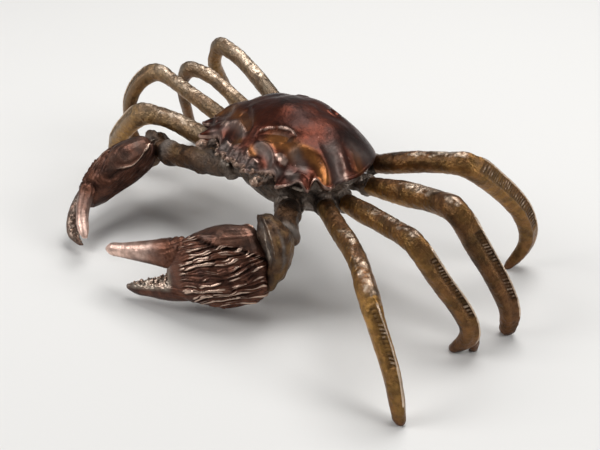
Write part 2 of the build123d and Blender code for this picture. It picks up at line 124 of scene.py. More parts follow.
camera = put_in_scene("camera", bpy.data.cameras.new("camera"))
camera.data.lens = LENS
camera.data.sensor_width = SENSOR_WIDTH
camera.data.clip_start = NEAREST
aim(camera, VIEW_TARGET + direction(VIEW_AZIMUTH, VIEW_ELEVATION) * VIEW_DISTANCE, VIEW_TARGET)
bpy.context.scene.camera = camera
print("camera at", [round(v, 4) for v in camera.location])

# %% Lamps and surroundings
# azimuth and elevation in degrees, distance and size in millimetres, strength in watts
LAMPS = {
    "overhead": (205, 66, 620, 380, 3.0),
    "left_window": (-30, 36, 600, 260, 1.5),
    "right_window": (120, 32, 620, 240, 1.3),
}
LAMP_TARGET = np.array([0.0, 0.0, 15.0])
WORLD_COLOUR, WORLD_STRENGTH = (0.86, 0.87, 0.89, 1), 0.22

for lamp_name, (azimuth, elevation, distance, size, watts) in LAMPS.items():
    lamp = put_in_scene(lamp_name, bpy.data.lights.new(lamp_name, "AREA"))
    lamp.data.size = size * MM
    lamp.data.energy = watts
    aim(lamp, LAMP_TARGET + direction(radians(azimuth), radians(elevation)) * distance, LAMP_TARGET)

world = bpy.data.worlds.new("studio")
bpy.context.scene.world = world
world.use_nodes = True
surroundings = world.node_tree.nodes["Background"].inputs
surroundings["Color"].default_value = WORLD_COLOUR
surroundings["Strength"].default_value = WORLD_STRENGTH
bpy.context.scene.view_settings.view_transform = "Standard"
print("lamps:", ", ".join(LAMPS))

# %% Floor
FLOOR_REACH = 1.6
PAPER_COLOUR, PAPER_ROUGHNESS = (0.74, 0.73, 0.71, 1), 0.9


def floor_sheet():
    """one large square, pale and matt"""
    mesh = bpy.data.meshes.new("floor")
    corners = [(x * FLOOR_REACH, y * FLOOR_REACH, 0) for x, y in ((-1, -1), (1, -1), (1, 1), (-1, 1))]
    mesh.from_pydata(corners, [], [(0, 1, 2, 3)])
    paper = bpy.data.materials.new("pale_paper")
    paper.use_nodes = True
    shader = paper.node_tree.nodes["Principled BSDF"]
    shader.inputs["Base Color"].default_value = PAPER_COLOUR
    shader.inputs["Roughness"].default_value = PAPER_ROUGHNESS
    mesh.materials.append(paper)
    sheet = put_in_scene("floor", mesh)


floor_sheet()
print("floor reaches", FLOOR_REACH, "m each way")

# %% [markdown]
# ## Curves through a few chosen points
#
# A maker would bend wire or draw with a spline, not list hundreds of points. The curve below passes
# through each chosen point and bends evenly between them. The same curve reads tables of ring
# sizes, so a limb swells and narrows smoothly from a handful of measured sections.


# %% Splines
def spline_at(keys, values, at):
    """cubic curve through values at keys, straight at its ends, read at the places asked for"""
    keys, values, at = np.asarray(keys, float), np.asarray(values, float), np.asarray(at, float)
    gap = np.diff(keys)
    size = len(keys)
    system = np.zeros((size, size))
    system[0, 0] = system[-1, -1] = 1
    right = np.zeros_like(values)
    slope = np.diff(values, axis=0) / gap[:, None]
    for i in range(1, size - 1):
        system[i, i - 1:i + 2] = gap[i - 1], 2 * (gap[i - 1] + gap[i]), gap[i]
        right[i] = 6 * (slope[i] - slope[i - 1])
    bend = np.linalg.solve(system, right)
    span = np.clip(np.searchsorted(keys, at) - 1, 0, size - 2)
    width = gap[span][:, None]
    after, before = (at - keys[span])[:, None], (keys[span + 1] - at)[:, None]
    cubic = (bend[span] * before ** 3 + bend[span + 1] * after ** 3) / (6 * width)
    line = (values[span] / width - bend[span] * width / 6) * before
    return cubic + line + (values[span + 1] / width - bend[span + 1] * width / 6) * after


def chord_keys(points, power=1.0):
    """running distance along chosen points; a power below 1 evens out long and short gaps"""
    steps = np.linalg.norm(np.diff(np.asarray(points, float), axis=0), axis=1) ** power
    return np.concatenate([[0], np.cumsum(steps)])


def course(points, shares, knee=None):
    """places and unit directions along a smooth course, by shares of its length; knee gives the
    number of one chosen point and the share that falls on it"""
    keys = chord_keys(points)
    steps = np.linspace(0, keys[-1], 500)
    fine = spline_at(keys, points, steps)
    run = chord_keys(fine)
    wanted = np.asarray(shares) * run[-1]
    if knee:
        bend = np.interp(keys[knee[0]], steps, run)
        wanted = np.interp(shares, [0, knee[1], 1], [0, bend, run[-1]])
    places = np.stack([np.interp(wanted, run, fine[:, i]) for i in range(3)], 1)
    heading = np.gradient(fine, run, axis=0)
    along = np.stack([np.interp(wanted, run, heading[:, i]) for i in range(3)], 1)
    return places, along / np.linalg.norm(along, axis=1)[:, None]


def wrapped(points):
    """a closed outline's points, repeated past both ends"""
    return points[-3:] + points + points[:4]


def loop_keys(points):
    """keys for a closed outline"""
    return chord_keys(wrapped(points), 0.7)


def loop_at(keys, points, count):
    """closed smooth outline through points, at evenly spaced keys"""
    return spline_at(keys, wrapped(points), np.linspace(keys[3], keys[-4], count, endpoint=False))


def turns(count):
    """evenly spaced angles round a ring"""
    return 2 * pi * np.arange(count) / count


def smooth_step(low, high, value):
    """0 at low, 1 at high, and an even change between; low may be the greater"""
    t = np.clip((value - low) / (high - low), 0, 1)
    return t * t * (3 - 2 * t)


def window(value, rise_from, rise_to, fall_from, fall_to):
    """0, then an even rise to 1, then an even fall to 0"""
    return smooth_step(rise_from, rise_to, value) * smooth_step(fall_to, fall_from, value)


def bump(value, centre, reach):
    """1 at a centre, fading both ways"""
    return np.exp(-((value - centre) / reach) ** 2)


print("a straight course of 10 mm ends at", course([(0, 0, 0), (5, 0, 0), (10, 0, 0)], [1])[0])

# %% [markdown]
# ## Meshes from rings
#
# Most castings here are a stack of closed rings, each with the same number of points. Neighbouring
# rings are joined by four-sided faces and both ends are closed with a fan. All work is done in
# millimetres, and the last step moves the points to the frame and turns them into metres, so each
# finished object sits at the origin with its place in its mesh.


# %% Building helpers
def skin(rings):
    """points and faces of a closed form stretched over rings"""
    rings = np.asarray(rings, float)
    count, sides = rings.shape[:2]
    faces = []
    for low in range(0, (count - 1) * sides, sides):
        high = low + sides
        faces += [(low + k, low + (k + 1) % sides, high + (k + 1) % sides, high + k) for k in range(sides)]
    top, first, last = (count - 1) * sides, count * sides, count * sides + 1
    faces += [((k + 1) % sides, k, first) for k in range(sides)]
    faces += [(top + k, top + (k + 1) % sides, last) for k in range(sides)]
    points = np.concatenate([rings.reshape(-1, 3), [rings[0].mean(axis=0)], [rings[-1].mean(axis=0)]])
    return points, faces


def with_ends(share, angle):
    """share and angle of every point of a skin: its rings' points, then the two that close its ends"""
    return np.append(share, [0, 1]), np.append(angle, [0, 0])


def joined(forms):
    """several closed forms as one list of points and faces"""
    points, faces, base = [], [], 0
    for form_points, form_faces in forms:
        points.append(form_points)
        faces += [tuple(base + i for i in face) for face in form_faces]
        base += len(form_points)
    return np.concatenate(points), faces


def volume(mesh):
    """volume of a closed mesh, negative when it is inside out"""
    shape = bmesh.new()
    shape.from_mesh(mesh)
    size = shape.calc_volume(signed=True)
    shape.free()
    return size


def make_object(name, points, faces):
    """object in crab millimetres, smooth and facing outwards"""
    mesh = bpy.data.meshes.new(name)
    mesh.from_pydata(points.tolist(), [], faces)
    mesh.update()
    if volume(mesh) < 0:
        mesh.flip_normals()
    mesh.shade_smooth()
    return put_in_scene(name, mesh)


def read(rows, key, width=3, kind=float):
    """one property of all points, normals or edges as an array"""
    flat = np.empty(len(rows) * width, dtype=kind)
    rows.foreach_get(key, flat)
    return flat.reshape(-1, width)


def surface(thing):
    """the object's points and their outward directions"""
    return read(thing.data.vertices, "co"), read(thing.data.vertex_normals, "vector")


def write_points(thing, points):
    thing.data.vertices.foreach_set("co", np.asarray(points, float).ravel())
    thing.data.update()


def push_out(thing, points, normals, amount, on_floor=False):
    """move the points outwards by an amount each, though never below the floor, and store them"""
    points += normals * amount[:, None]
    if on_floor:
        points[:, 2] = np.maximum(points[:, 2], 0)
    write_points(thing, points)


def apply_modifiers(thing):
    """give the object the mesh that its modifiers make"""
    graph = bpy.context.evaluated_depsgraph_get()
    mesh = bpy.data.meshes.new_from_object(thing.evaluated_get(graph), depsgraph=graph)
    thing.modifiers.clear()
    thing.data = mesh
    return mesh


def melted(name, forms, cell, passes):
    """several overlapping forms run together into one skin, as molten metal would fill them"""
    thing = make_object(name, *joined(forms))
    remesh = thing.modifiers.new("melt", "REMESH")
    remesh.mode = "VOXEL"
    remesh.voxel_size = cell
    calm = thing.modifiers.new("calm", "SMOOTH")
    calm.factor = 0.5
    calm.iterations = passes
    mesh = apply_modifiers(thing)
    mesh.name = name
    mesh.shade_smooth()
    return thing


print("a ring of three points has the angles", turns(3).round(2))

# %% [markdown]
# ## Unevenness and wear
#
# Hand-chased metal is never quite even. A cheap random field, the same each run, gives slow swells
# and fine pits. Wear is worked out from the shape itself: where the surface bulges, fingers have
# rubbed the patina away, and where it is hollow, dull grime has stayed. Both are kept on the mesh
# as attributes, high and low, so that the materials can read them.


# %% Random field and wear
def blobs(points, size, seed):
    """smooth random values from -1 to 1, in blobs about size across; size may differ by axis.
    Large primes scramble the number of each cell corner, and values between corners are blended"""
    scaled = points / np.asarray(size, float)
    cell = np.floor(scaled).astype(np.int64)
    part = scaled - cell
    part = part * part * (3 - 2 * part)
    total = np.zeros(len(points))
    for corner in product((0, 1), repeat=3):
        c = cell + corner
        mix = (c[:, 0] * 73856093) ^ (c[:, 1] * 19349663) ^ (c[:, 2] * 83492791) ^ (seed * 40503)
        mix = ((mix ^ (mix >> 13)) * 1274126177) & 0x7FFFFFFF
        mix = ((mix ^ (mix >> 15)) * 668265263) & 0x7FFFFFFF
        weight = np.prod(np.where(corner, part, 1 - part), axis=1)
        total += (mix / 0x3FFFFFFF - 1) * weight
    return total


def patches(points, size, seed):
    """the same field, from 0 to 1"""
    return 0.5 + 0.5 * blobs(points, size, seed)


def lumps(points, *layers):
    """sum of such fields, each given by its height, the size of its blobs and its seed"""
    return sum(height * blobs(points, size, seed) for height, size, seed in layers)


def neighbour_mean(edges, values, count):
    """each point's average over the points that it shares an edge with"""
    near, far = edges[:, 0], edges[:, 1]
    degree = np.bincount(near, minlength=count) + np.bincount(far, minlength=count)
    total = [np.bincount(near, values[far, i], count) + np.bincount(far, values[near, i], count)
             for i in range(values.shape[1])]
    return np.stack(total, 1) / np.maximum(degree, 1)[:, None]


def keep(thing, **layers):
    """store values from 0 to 1 on the object's points, by the attribute's name"""
    for name, values in layers.items():
        layer = thing.data.attributes.get(name) or thing.data.attributes.new(name, "FLOAT", "POINT")
        layer.data.foreach_set("value", np.clip(values, 0, 1).astype(np.float32))


def weather(thing, reach=6, where=1.0):
    """store how much each point stands proud of, or lies below, the surface round it"""
    points, normals = surface(thing)
    edges = read(thing.data.edges, "vertices", 2, np.int32)
    calm = points
    for _ in range(reach):
        calm = neighbour_mean(edges, calm, len(points))
    proud = np.sum((points - calm) * normals, axis=1)
    proud -= np.median(proud)
    proud /= np.percentile(np.abs(proud), 95)
    for _ in range(2):
        proud = neighbour_mean(edges, proud[:, None], len(points))[:, 0]
    keep(thing, high=smooth_step(0.35, 1.5, proud) * where, low=smooth_step(0.3, 1.6, -proud) * where)
    return proud


def finish_piece(thing, slot, *nodes):
    """last steps that every piece shares: to the frame's metres, the material named by slot, the root
    body, and the solids it replaces hidden
    """
    write_points(thing, (surface(thing)[0] + SHIFT) * MM)
    thing.data.materials.clear()
    thing.data.materials.append(METALS[slot])
    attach(thing, "root")
    if nodes:
        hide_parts(*nodes)
    print(thing.name, sum(len(p.vertices) - 2 for p in thing.data.polygons), "triangles")


print("random field from", round(blobs(np.random.default_rng(1).random((999, 3)) * 50, 3, 1).min(), 2))

# %% [markdown]
# ## Shared effects for the patina
#
# Old bronze is a thin brown skin over bright metal. Three effects make it, and each is a node group
# that any material can use. Mottling shifts the brown between a deep and a warm tone. Rubbing turns
# the high attribute, broken up by noise, into a mask of bare metal; the same mask carries the
# highlights painted into that attribute. Cast grain puts the fine pits of the mould into the way
# that light glances off.


# %% Node helpers
def socket(group, name, way, kind, value=None):
    made = group.interface.new_socket(name=name, in_out=way, socket_type=kind)
    if value is not None:
        made.default_value = value


def add(tree, kind, feeds=None, **settings):
    """new node with its settings; feeds gives each input a socket to follow or a plain value"""
    node = tree.nodes.new(kind)
    for key, value in settings.items():
        setattr(node, key, value)
    for key, value in (feeds or {}).items():
        if hasattr(value, "is_output"):
            tree.links.new(value, node.inputs[key])
        else:
            node.inputs[key].default_value = value
    return node


def new_group(name, entries, result, kind):
    """shader group whose entries are colours or numbers, and its one result"""
    group = bpy.data.node_groups.new(name, "ShaderNodeTree")
    for key, value in entries.items():
        is_colour = isinstance(value, tuple)
        socket(group, key, "INPUT", "NodeSocketColor" if is_colour else "NodeSocketFloat", value)
    socket(group, result, "OUTPUT", kind)
    return group, group.nodes.new("NodeGroupInput").outputs, group.nodes.new("NodeGroupOutput").inputs[result]


def mix_colour(tree, amount, low, high):
    return add(tree, "ShaderNodeMix", {0: amount, 6: low, 7: high}, data_type="RGBA").outputs[2]


def spread(tree, value, low, high, to_low=0.0, to_high=1.0):
    """map a range of values smoothly onto another"""
    feeds = {"Value": value, "From Min": low, "From Max": high, "To Min": to_low, "To Max": to_high}
    return add(tree, "ShaderNodeMapRange", feeds, interpolation_type="SMOOTHSTEP").outputs["Result"]


def math_node(tree, operation, first, second):
    return add(tree, "ShaderNodeMath", {0: first, 1: second}, operation=operation).outputs[0]


def noise(tree, scale, detail, rough):
    """noise in object space, with scale blobs to a metre"""
    feeds = {"Vector": add(tree, "ShaderNodeTexCoord").outputs["Object"],
             "Scale": scale, "Detail": detail, "Roughness": rough}
    return add(tree, "ShaderNodeTexNoise", feeds).outputs["Fac"]


# %% Mottling
def build_mottling():
    entries = {"Deep": (0.05, 0.02, 0.01, 1), "Warm": (0.25, 0.1, 0.05, 1), "Scale": 120.0, "Balance": 0.5}
    group, into, out = new_group("patina mottling", entries, "Colour", "NodeSocketColor")
    cloud = noise(group, into["Scale"], 5.0, 0.62)
    low = math_node(group, "SUBTRACT", into["Balance"], 0.16)
    high = math_node(group, "ADD", into["Balance"], 0.16)
    group.links.new(mix_colour(group, spread(group, cloud, low, high), into["Deep"], into["Warm"]), out)
    return group


mottling = build_mottling()
print("group:", mottling.name)


# %% Rubbing
def build_rubbing():
    entries = {"High": 0.0, "Scale": 300.0, "Patchiness": 0.5, "Start": 0.35}
    group, into, out = new_group("rubbed high spots", entries, "Mask", "NodeSocketFloat")
    centred = math_node(group, "SUBTRACT", noise(group, into["Scale"], 4.0, 0.6), 0.5)
    uneven = math_node(group, "MULTIPLY", centred, into["Patchiness"])
    raised = math_node(group, "ADD", into["High"], uneven)
    end = math_node(group, "ADD", into["Start"], 0.4)
    group.links.new(spread(group, raised, into["Start"], end), out)
    return group


rubbing = build_rubbing()
print("group:", rubbing.name)


# %% Cast grain
def build_grain():
    entries = {"Scale": 2500.0, "Depth": 0.00004}
    group, into, out = new_group("cast grain", entries, "Height", "NodeSocketFloat")
    fine = noise(group, into["Scale"], 3.0, 0.6)
    slow = noise(group, math_node(group, "MULTIPLY", into["Scale"], 0.22), 2.0, 0.5)
    both = math_node(group, "ADD", fine, math_node(group, "MULTIPLY", slow, 1.6))
    group.links.new(math_node(group, "MULTIPLY", both, into["Depth"]), out)
    return group


grain = build_grain()
print("group:", grain.name)


# %% A bronze from the shared effects
# how far hollows are dulled and roughened, and how metallic gold is beside bare metal
DULLING, HOLLOW_ROUGHNESS, GOLD_BARENESS = 0.75, 0.22, 0.6
COAT_ROUGHNESS = 0.3


def bronze(name, deep, warm, gold, bare_and_highlight, dull, mottle, start, rough, pits, coat, patchy=0.7,
           grain_scale=1500.0, metal=(0.85, 1.0), haze=None):
    """patina from deep to warm brown, gold and a painted greyish sheen where marked, bare metal on
    high spots and on painted highlights, dull in hollows
    """
    material = bpy.data.materials.new(name)
    material.use_nodes = True
    tree = material.node_tree

    def attribute(key):
        return add(tree, "ShaderNodeAttribute", attribute_name=key).outputs["Fac"]

    base = add(tree, "ShaderNodeGroup", {"Deep": (*deep, 1), "Warm": (*warm, 1), "Scale": mottle},
               node_tree=mottling)
    worn = add(tree, "ShaderNodeGroup", {"High": attribute("high"), "Scale": mottle * 3, "Patchiness": patchy,
                                         "Start": start}, node_tree=rubbing).outputs["Mask"]
    speckle = spread(tree, noise(tree, mottle * 2.2, 4.0, 0.55), 0.38, 0.62, 0.55, 1.0)
    golden = math_node(tree, "MULTIPLY", attribute("gold"), speckle)
    colour = mix_colour(tree, golden, base.outputs["Colour"], (*gold, 1))
    dulled = math_node(tree, "MULTIPLY", attribute("low"), DULLING)
    colour = mix_colour(tree, dulled, colour, (*dull, 1))
    # a greyish sheen painted over the patina where its attribute is set
    if haze:
        colour = mix_colour(tree, attribute("haze"), colour, (*haze, 1))
    colour = mix_colour(tree, worn, colour, (*bare_and_highlight, 1))
    bare = math_node(tree, "MAXIMUM", worn, math_node(tree, "MULTIPLY", golden, GOLD_BARENESS))
    gloss = math_node(tree, "ADD", spread(tree, bare, 0, 1, *rough),
                      math_node(tree, "MULTIPLY", attribute("low"), HOLLOW_ROUGHNESS))
    pitting = add(tree, "ShaderNodeGroup", {"Scale": grain_scale, "Depth": pits}, node_tree=grain)
    relief_of_pits = add(tree, "ShaderNodeBump", {"Strength": 1.0, "Distance": 1.0,
                                                  "Height": pitting.outputs["Height"]})
    shader = tree.nodes["Principled BSDF"].inputs
    tree.links.new(colour, shader["Base Color"])
    tree.links.new(spread(tree, bare, 0, 1, *metal), shader["Metallic"])
    tree.links.new(gloss, shader["Roughness"])
    tree.links.new(relief_of_pits.outputs["Normal"], shader["Normal"])
    shader["Coat Weight"].default_value = coat
    shader["Coat Roughness"].default_value = COAT_ROUGHNESS
    return material


# the rubbed colour of each look is that of bare metal, and it also colours the painted highlights
LOOKS = {
    "shell_bronze": dict(deep=(0.028, 0.009, 0.006), warm=(0.098, 0.023, 0.011), gold=(0.42, 0.165, 0.045),
                         bare_and_highlight=(0.62, 0.43, 0.35), dull=(0.19, 0.165, 0.15), mottle=120.0, start=0.35,
                         patchy=0.3, rough=(0.37, 0.34), pits=0.00007, coat=0.05, metal=(0.92, 1.0)),
    # the leg's greyish colour below is a sheen painted on the upper sides of the right legs
    "leg_bronze": dict(deep=(0.036, 0.018, 0.010), warm=(0.160, 0.070, 0.030), gold=(0.60, 0.32, 0.085),
                       bare_and_highlight=(0.68, 0.53, 0.40), dull=(0.022, 0.013, 0.008), mottle=260.0, start=0.40,
                       patchy=0.75, rough=(0.38, 0.30), pits=0.0003, coat=0.06, haze=(0.205, 0.160, 0.110)),
    "claw_bronze": dict(deep=(0.05, 0.020, 0.013), warm=(0.15, 0.060, 0.036), gold=(0.50, 0.43, 0.35),
                        bare_and_highlight=(0.64, 0.46, 0.36), dull=(0.014, 0.008, 0.006), mottle=260.0, start=0.3,
                        patchy=0.4, rough=(0.38, 0.30), grain_scale=2200.0, pits=0.0001, coat=0.08),
    "fingertip_bronze": dict(deep=(0.06, 0.024, 0.015), warm=(0.17, 0.068, 0.040), gold=(0.86, 0.60, 0.50),
                             bare_and_highlight=(0.62, 0.40, 0.31), dull=(0.06, 0.03, 0.02), mottle=260.0, start=0.7,
                             rough=(0.44, 0.36), pits=0.00015, coat=0.06),
    "limb_bronze": dict(deep=(0.042, 0.024, 0.015), warm=(0.145, 0.076, 0.038), gold=(0.26, 0.15, 0.055),
                        bare_and_highlight=(0.58, 0.49, 0.40), dull=(0.20, 0.175, 0.155), mottle=300.0, start=0.45,
                        patchy=0.6, rough=(0.44, 0.36), pits=0.0004, coat=0.04),
    "underside_bronze": dict(deep=(0.040, 0.028, 0.020), warm=(0.155, 0.110, 0.080), gold=(0.36, 0.30, 0.255),
                             bare_and_highlight=(0.50, 0.43, 0.36), dull=(0.012, 0.009, 0.008), mottle=360.0, start=0.38,
                             rough=(0.5, 0.36), pits=0.0005, coat=0.03),
    "eye_bronze": dict(deep=(0.035, 0.024, 0.018), warm=(0.13, 0.095, 0.075), gold=(0.50, 0.31, 0.22),
                       bare_and_highlight=(0.60, 0.43, 0.33), dull=(0.02, 0.014, 0.010), mottle=700.0, start=0.42,
                       patchy=0.9, rough=(0.44, 0.3), grain_scale=1700.0, pits=0.0004, coat=0.05),
}
METALS = {slot: bronze(slot.replace("_", " "), **look) for slot, look in LOOKS.items()}
print("metals:", ", ".join(METALS))

# %% [markdown]
# ## The shell
#
# The shell is a low dome whose edge carries the brow's small lobes, two notches for the eyes and
# three teeth on each side. It is drawn as outlines that shrink towards the top: the toothed outline
# at the edge melts into a calm one a little way in. The edge then turns under as a thick lip and
# goes back inside, so the mesh is a closed shell.

# %% Outlines and heights of the shell
RIM_Z = 29.8
RIM_TILT = radians(2.4)
DOME_RISE = 11.1
DOME_CENTRE_Y = -2.0
BROW_LINE_Y = -20.0
BROW = [(0, -20.0), (2, -21.2), (4, -19.9), (6, -21.3), (7.8, -19.4)]
ORBIT = [(10, -17.8), (13.5, -17.5)]
SIDE_TEETH = [(16.6, -20.0), (18.7, -14.8), (22.5, -15.1), (20.6, -11.4), (24.2, -10.3)]
FLANK = [(23.3, -6.4), (23.4, -2.0), (22.3, 2.5), (20.8, 5.6), (18.6, 9.2), (15.2, 12.1),
         (10.5, 14.0), (5.2, 14.9)]
TAIL = (0, 15.2)
CALM_FRONT = [(0, -19.6), (2, -19.6), (4, -19.6), (6, -19.5), (7.8, -19.2), (10, -18.7), (13.5, -17.6),
              (16.9, -16.2), (19.4, -14.4), (21.4, -12.6), (22.9, -10.6), (24.1, -8.9)]
TOOTH_DEPTH = 0.16
# the edge arches up over each orbit and between the side teeth: place, reach, rise
ARCHES = [((11.8, -17.6), 2.2, 0.7), ((18.7, -14.9), 1.7, 1.0), ((20.8, -11.4), 1.4, 1.5)]
# higher up the outline turns into an ellipse: its half axes, and the shares between which it turns
ROUND_X, ROUND_Y = 23.4, 17.4
ROUND_FROM, ROUND_TO = 0.92, 0.38
# how the dome's height falls towards its edge
DOME_FULLNESS, DOME_SHOULDER = 2.15, 0.95
SHELL_COLUMNS = 400


def both_sides(half, tail):
    """closed outline from its +X half, starting at the middle of the front"""
    return half + [tail] + [(-x, y) for x, y in reversed(half[1:])]


toothed = both_sides(BROW + ORBIT + SIDE_TEETH + FLANK, TAIL)
outline_keys = loop_keys(toothed)
EDGE_LOOP = loop_at(outline_keys, toothed, SHELL_COLUMNS)
CALM_LOOP = loop_at(outline_keys, both_sides(CALM_FRONT + FLANK, TAIL), SHELL_COLUMNS)


def edge_rise(flat):
    """how far the shell's edge arches up at a place on it"""
    return sum(rise * np.exp(-((np.abs(flat[:, 0]) - x) ** 2 + (flat[:, 1] - y) ** 2) / reach ** 2)
               for (x, y), reach, rise in ARCHES)


def shell_ring(share, height, sharpness):
    """outline drawn in towards the dome's middle; sharpness, 0 to 1, brings in teeth and arches"""
    centre = np.array([0, DOME_CENTRE_Y])
    flat = EDGE_LOOP * sharpness + CALM_LOOP * (1 - sharpness) - centre
    roundness = 1 - smooth_step(ROUND_TO, ROUND_FROM, share)
    stretch = 1 - roundness + roundness / np.hypot(flat[:, 0] / ROUND_X, flat[:, 1] / ROUND_Y)
    flat = centre + flat * stretch[:, None] * share
    return np.column_stack([flat, height + edge_rise(EDGE_LOOP) * sharpness])


def dome_height(share):
    return DOME_RISE * (1 - share ** DOME_FULLNESS) ** DOME_SHOULDER


def tilt(points):
    """set a body form at the rim's height, tipped towards the tail"""
    y, z = points[:, 1] - BROW_LINE_Y, points[:, 2]
    return np.column_stack([points[:, 0], y * cos(RIM_TILT) + z * sin(RIM_TILT) + BROW_LINE_Y,
                            z * cos(RIM_TILT) - y * sin(RIM_TILT) + RIM_Z])


print("shell outline is", round(np.ptp(EDGE_LOOP[:, 0]), 1), "x", round(np.ptp(EDGE_LOOP[:, 1]), 1), "mm")

# %% [markdown]
# ## Relief on the shell
#
# The chaser raised soft folds on the front of the dome: crescents over the brow, an arch behind
# each one, a lobe above the side teeth with a dish before it, and low swells over the back. Each
# fold is a short curve with a crest and a hollow in front, given on the left side. Most are
# mirrored; the right crescent is a bolder one of its own. Patina is painted in strokes along
# curves too: pale where a crest is rubbed, with a painted highlight on it, gold down the slopes,
# grey in the dishes, and painted highlights alone in a bright spot and pale streaks on the flank.

# %% Folds, swells and pits
# each fold: which side has it (0 for both), its curve, crest height, reach behind, reach in front,
# hollow depth, hollow distance, reach
FOLDS = {
    "arch": (0, [(0.4, -15.4), (1.6, -13.5), (4.2, -11.5), (6.8, -9.9), (9.4, -9.2), (10.8, -9.2)],
             0.6, 2.4, 0.3, 0.8, 1.7, 1.3),
    "crescent": (1, [(2.0, -16.2), (3.9, -15.5), (6.2, -15.1), (8.8, -15.4), (10.8, -16.5), (11.6, -18.0)],
                 0.8, 0.9, 0.45, 0.3, 1.5, 0.8),
    "bold_crescent": (-1, [(1.6, -16.6), (2.9, -15.4), (5.6, -14.5), (8.5, -14.4), (10.8, -15.6),
                           (11.8, -17.2)], 0.9, 0.9, 0.55, 0.5, 2.0, 1.1),
    "dimple_lip": (0, [(1.4, -17.2), (2.6, -18.4), (4.8, -18.8), (7.0, -18.2)],
                   0.4, 0.45, 0.35, 0.0, 1.0, 1.0),
    "lobe": (0, [(11.6, -13.4), (13.6, -10.8), (16.4, -8.8), (19.2, -8.1), (21.6, -8.6), (23.6, -9.8)],
             0.65, 2.0, 0.7, 0.9, 2.4, 1.7),
    "tooth_fan": (0, [(15.6, -17.4), (16.8, -15.3), (18.4, -13.6), (20.4, -13.4)],
                  0.4, 0.5, 0.45, 0.35, 1.2, 0.8),
    "flank_front": (0, [(18.4, -1.6), (20.6, -2.9), (23.4, -4.0)], 0.45, 1.1, 0.9, 0.35, 1.9, 0.9),
    "flank_back": (0, [(18.4, 1.8), (20.4, 0.6), (22.8, 0.2)], 0.3, 0.9, 0.7, 0.25, 1.5, 0.8),
    "side_groove": (0, [(10.6, -7.4), (8.2, -4.2), (7.0, -0.5), (8.4, 4.0), (12.0, 8.0)],
                    -0.35, 1.9, 1.8, 0.0, 1.0, 1.0),
    "back_groove": (0, [(0.6, 1.6), (3.4, 2.8), (6.8, 1.8)], -0.25, 1.5, 1.5, 0.0, 1.0, 1.0),
}
# each swell: its middle, reach across, reach along, height
SWELLS = [((0, -5.6), 4.6, 4.2, 0.5), ((8.8, -4.9), 2.6, 2.2, 0.4), ((11.9, -14.8), 1.2, 1.0, 0.5),
          ((14.6, 1.6), 4.4, 3.8, 0.4), ((0, 7.0), 4.2, 3.0, 0.4), ((9.6, 7.6), 2.8, 2.4, 0.3),
          ((4.8, -17.1), 1.9, 0.9, -0.6), ((17.0, -15.9), 1.3, 0.9, -0.3), ((11.6, -17.0), 1.7, 0.8, 0.9)]
# one small pit with a rim on each half
PIT_CENTRE, PIT_REACH, PIT_RIM, PIT_DEPTH = (6.4, 5.8), 1.25, 0.28, 0.5
# strokes of patina: which attribute, side, curve, half width, strength
STROKES = [
    # the high strokes are crest lines, rubbed and with painted highlights on them, differing between the
    # sides
    ("high", 1, [(1.6, -13.6), (3.0, -12.4), (4.7, -11.2), (6.6, -10.0), (8.6, -9.3), (10.2, -9.2)],
     0.45, 0.72),
    ("low", 0, [(5.2, -12.2), (7.6, -11.2), (10.0, -10.9)], 0.6, 0.35),
    ("high", -1, [(1.6, -13.6), (3.0, -12.4)], 0.3, 0.5),
    ("low", 1, [(3.6, -16.0), (5.6, -15.7), (7.6, -15.8), (9.2, -16.1), (10.6, -16.7)], 0.75, 1.0),
    ("high", 1, [(3.4, -15.4), (6.2, -15.0), (8.8, -15.3), (10.2, -16.0)], 0.3, 0.55),
    ("low", -1, [(2.6, -15.6), (5.0, -14.8), (8.3, -14.6), (10.6, -15.6), (11.6, -16.4)], 0.9, 0.8),
    ("high", -1, [(3.2, -15.2), (5.6, -14.6), (8.4, -14.5), (10.4, -15.4)], 0.55, 0.6),
    ("high", 0, [(1.6, -17.4), (2.9, -18.3), (5.0, -18.6), (6.9, -18.1)], 0.4, 0.75),
    ("gold", 0, [(2.6, -17.3), (4.0, -17.2)], 0.8, 0.9),
    # painted highlights: a small spot in the left dimple, and the bright spot on the swell before the lobe
    ("high", 1, [(5.8, -17.4), (6.8, -17.4)], 0.5, 0.45),
    ("high", 0, [(10.6, -15.0), (13.1, -14.7)], 1.3, 0.76),
    ("gold", 0, [(5.6, -13.6), (8.2, -12.6), (10.6, -12.0), (12.6, -11.6)], 1.5, 0.9),
    ("gold", -1, [(3.4, -13.6), (6.0, -12.9)], 1.4, 0.8),
    ("gold", 0, [(14.0, -10.4), (16.0, -9.6), (18.4, -9.1), (20.2, -9.3), (22.4, -9.8)], 0.95, 1.0),
    ("high", 0, [(18.8, -8.7), (20.6, -8.8), (22.6, -9.4), (23.9, -10.2)], 0.25, 0.55),
    ("low", 0, [(13.2, -12.0), (14.8, -11.9), (16.8, -12.0)], 1.1, 0.9),
    ("low", 0, [(16.2, -15.6), (17.6, -15.0)], 0.9, 0.9),
    ("high", 0, [(15.8, -16.6), (17.1, -15.1), (18.5, -13.6)], 0.3, 0.5),
    # painted highlights on the flank: two pale streaks and a broad pale band
    ("high", 0, [(18.9, -2.4), (20.6, -3.1), (22.9, -3.9)], 0.95, 0.74),
    ("low", 0, [(17.6, -3.6), (20.2, -4.8), (22.8, -5.8)], 2.0, 0.85),
    ("high", 0, [(19.6, -0.4), (22.9, -1.4)], 1.1, 0.5),
    ("gold", 0, [(19.6, 2.2), (22.0, 0.8)], 1.3, 0.5),
    ("low", 0, [(18.2, 3.0), (19.2, 5.6)], 2.4, 0.75),
    ("high", 0, [(21.4, 1.0), (19.6, 4.3)], 0.3, 0.4),
    ("low", 0, [(9.2, -18.7), (11.4, -17.4), (14.0, -17.4)], 0.9, 0.9),
]


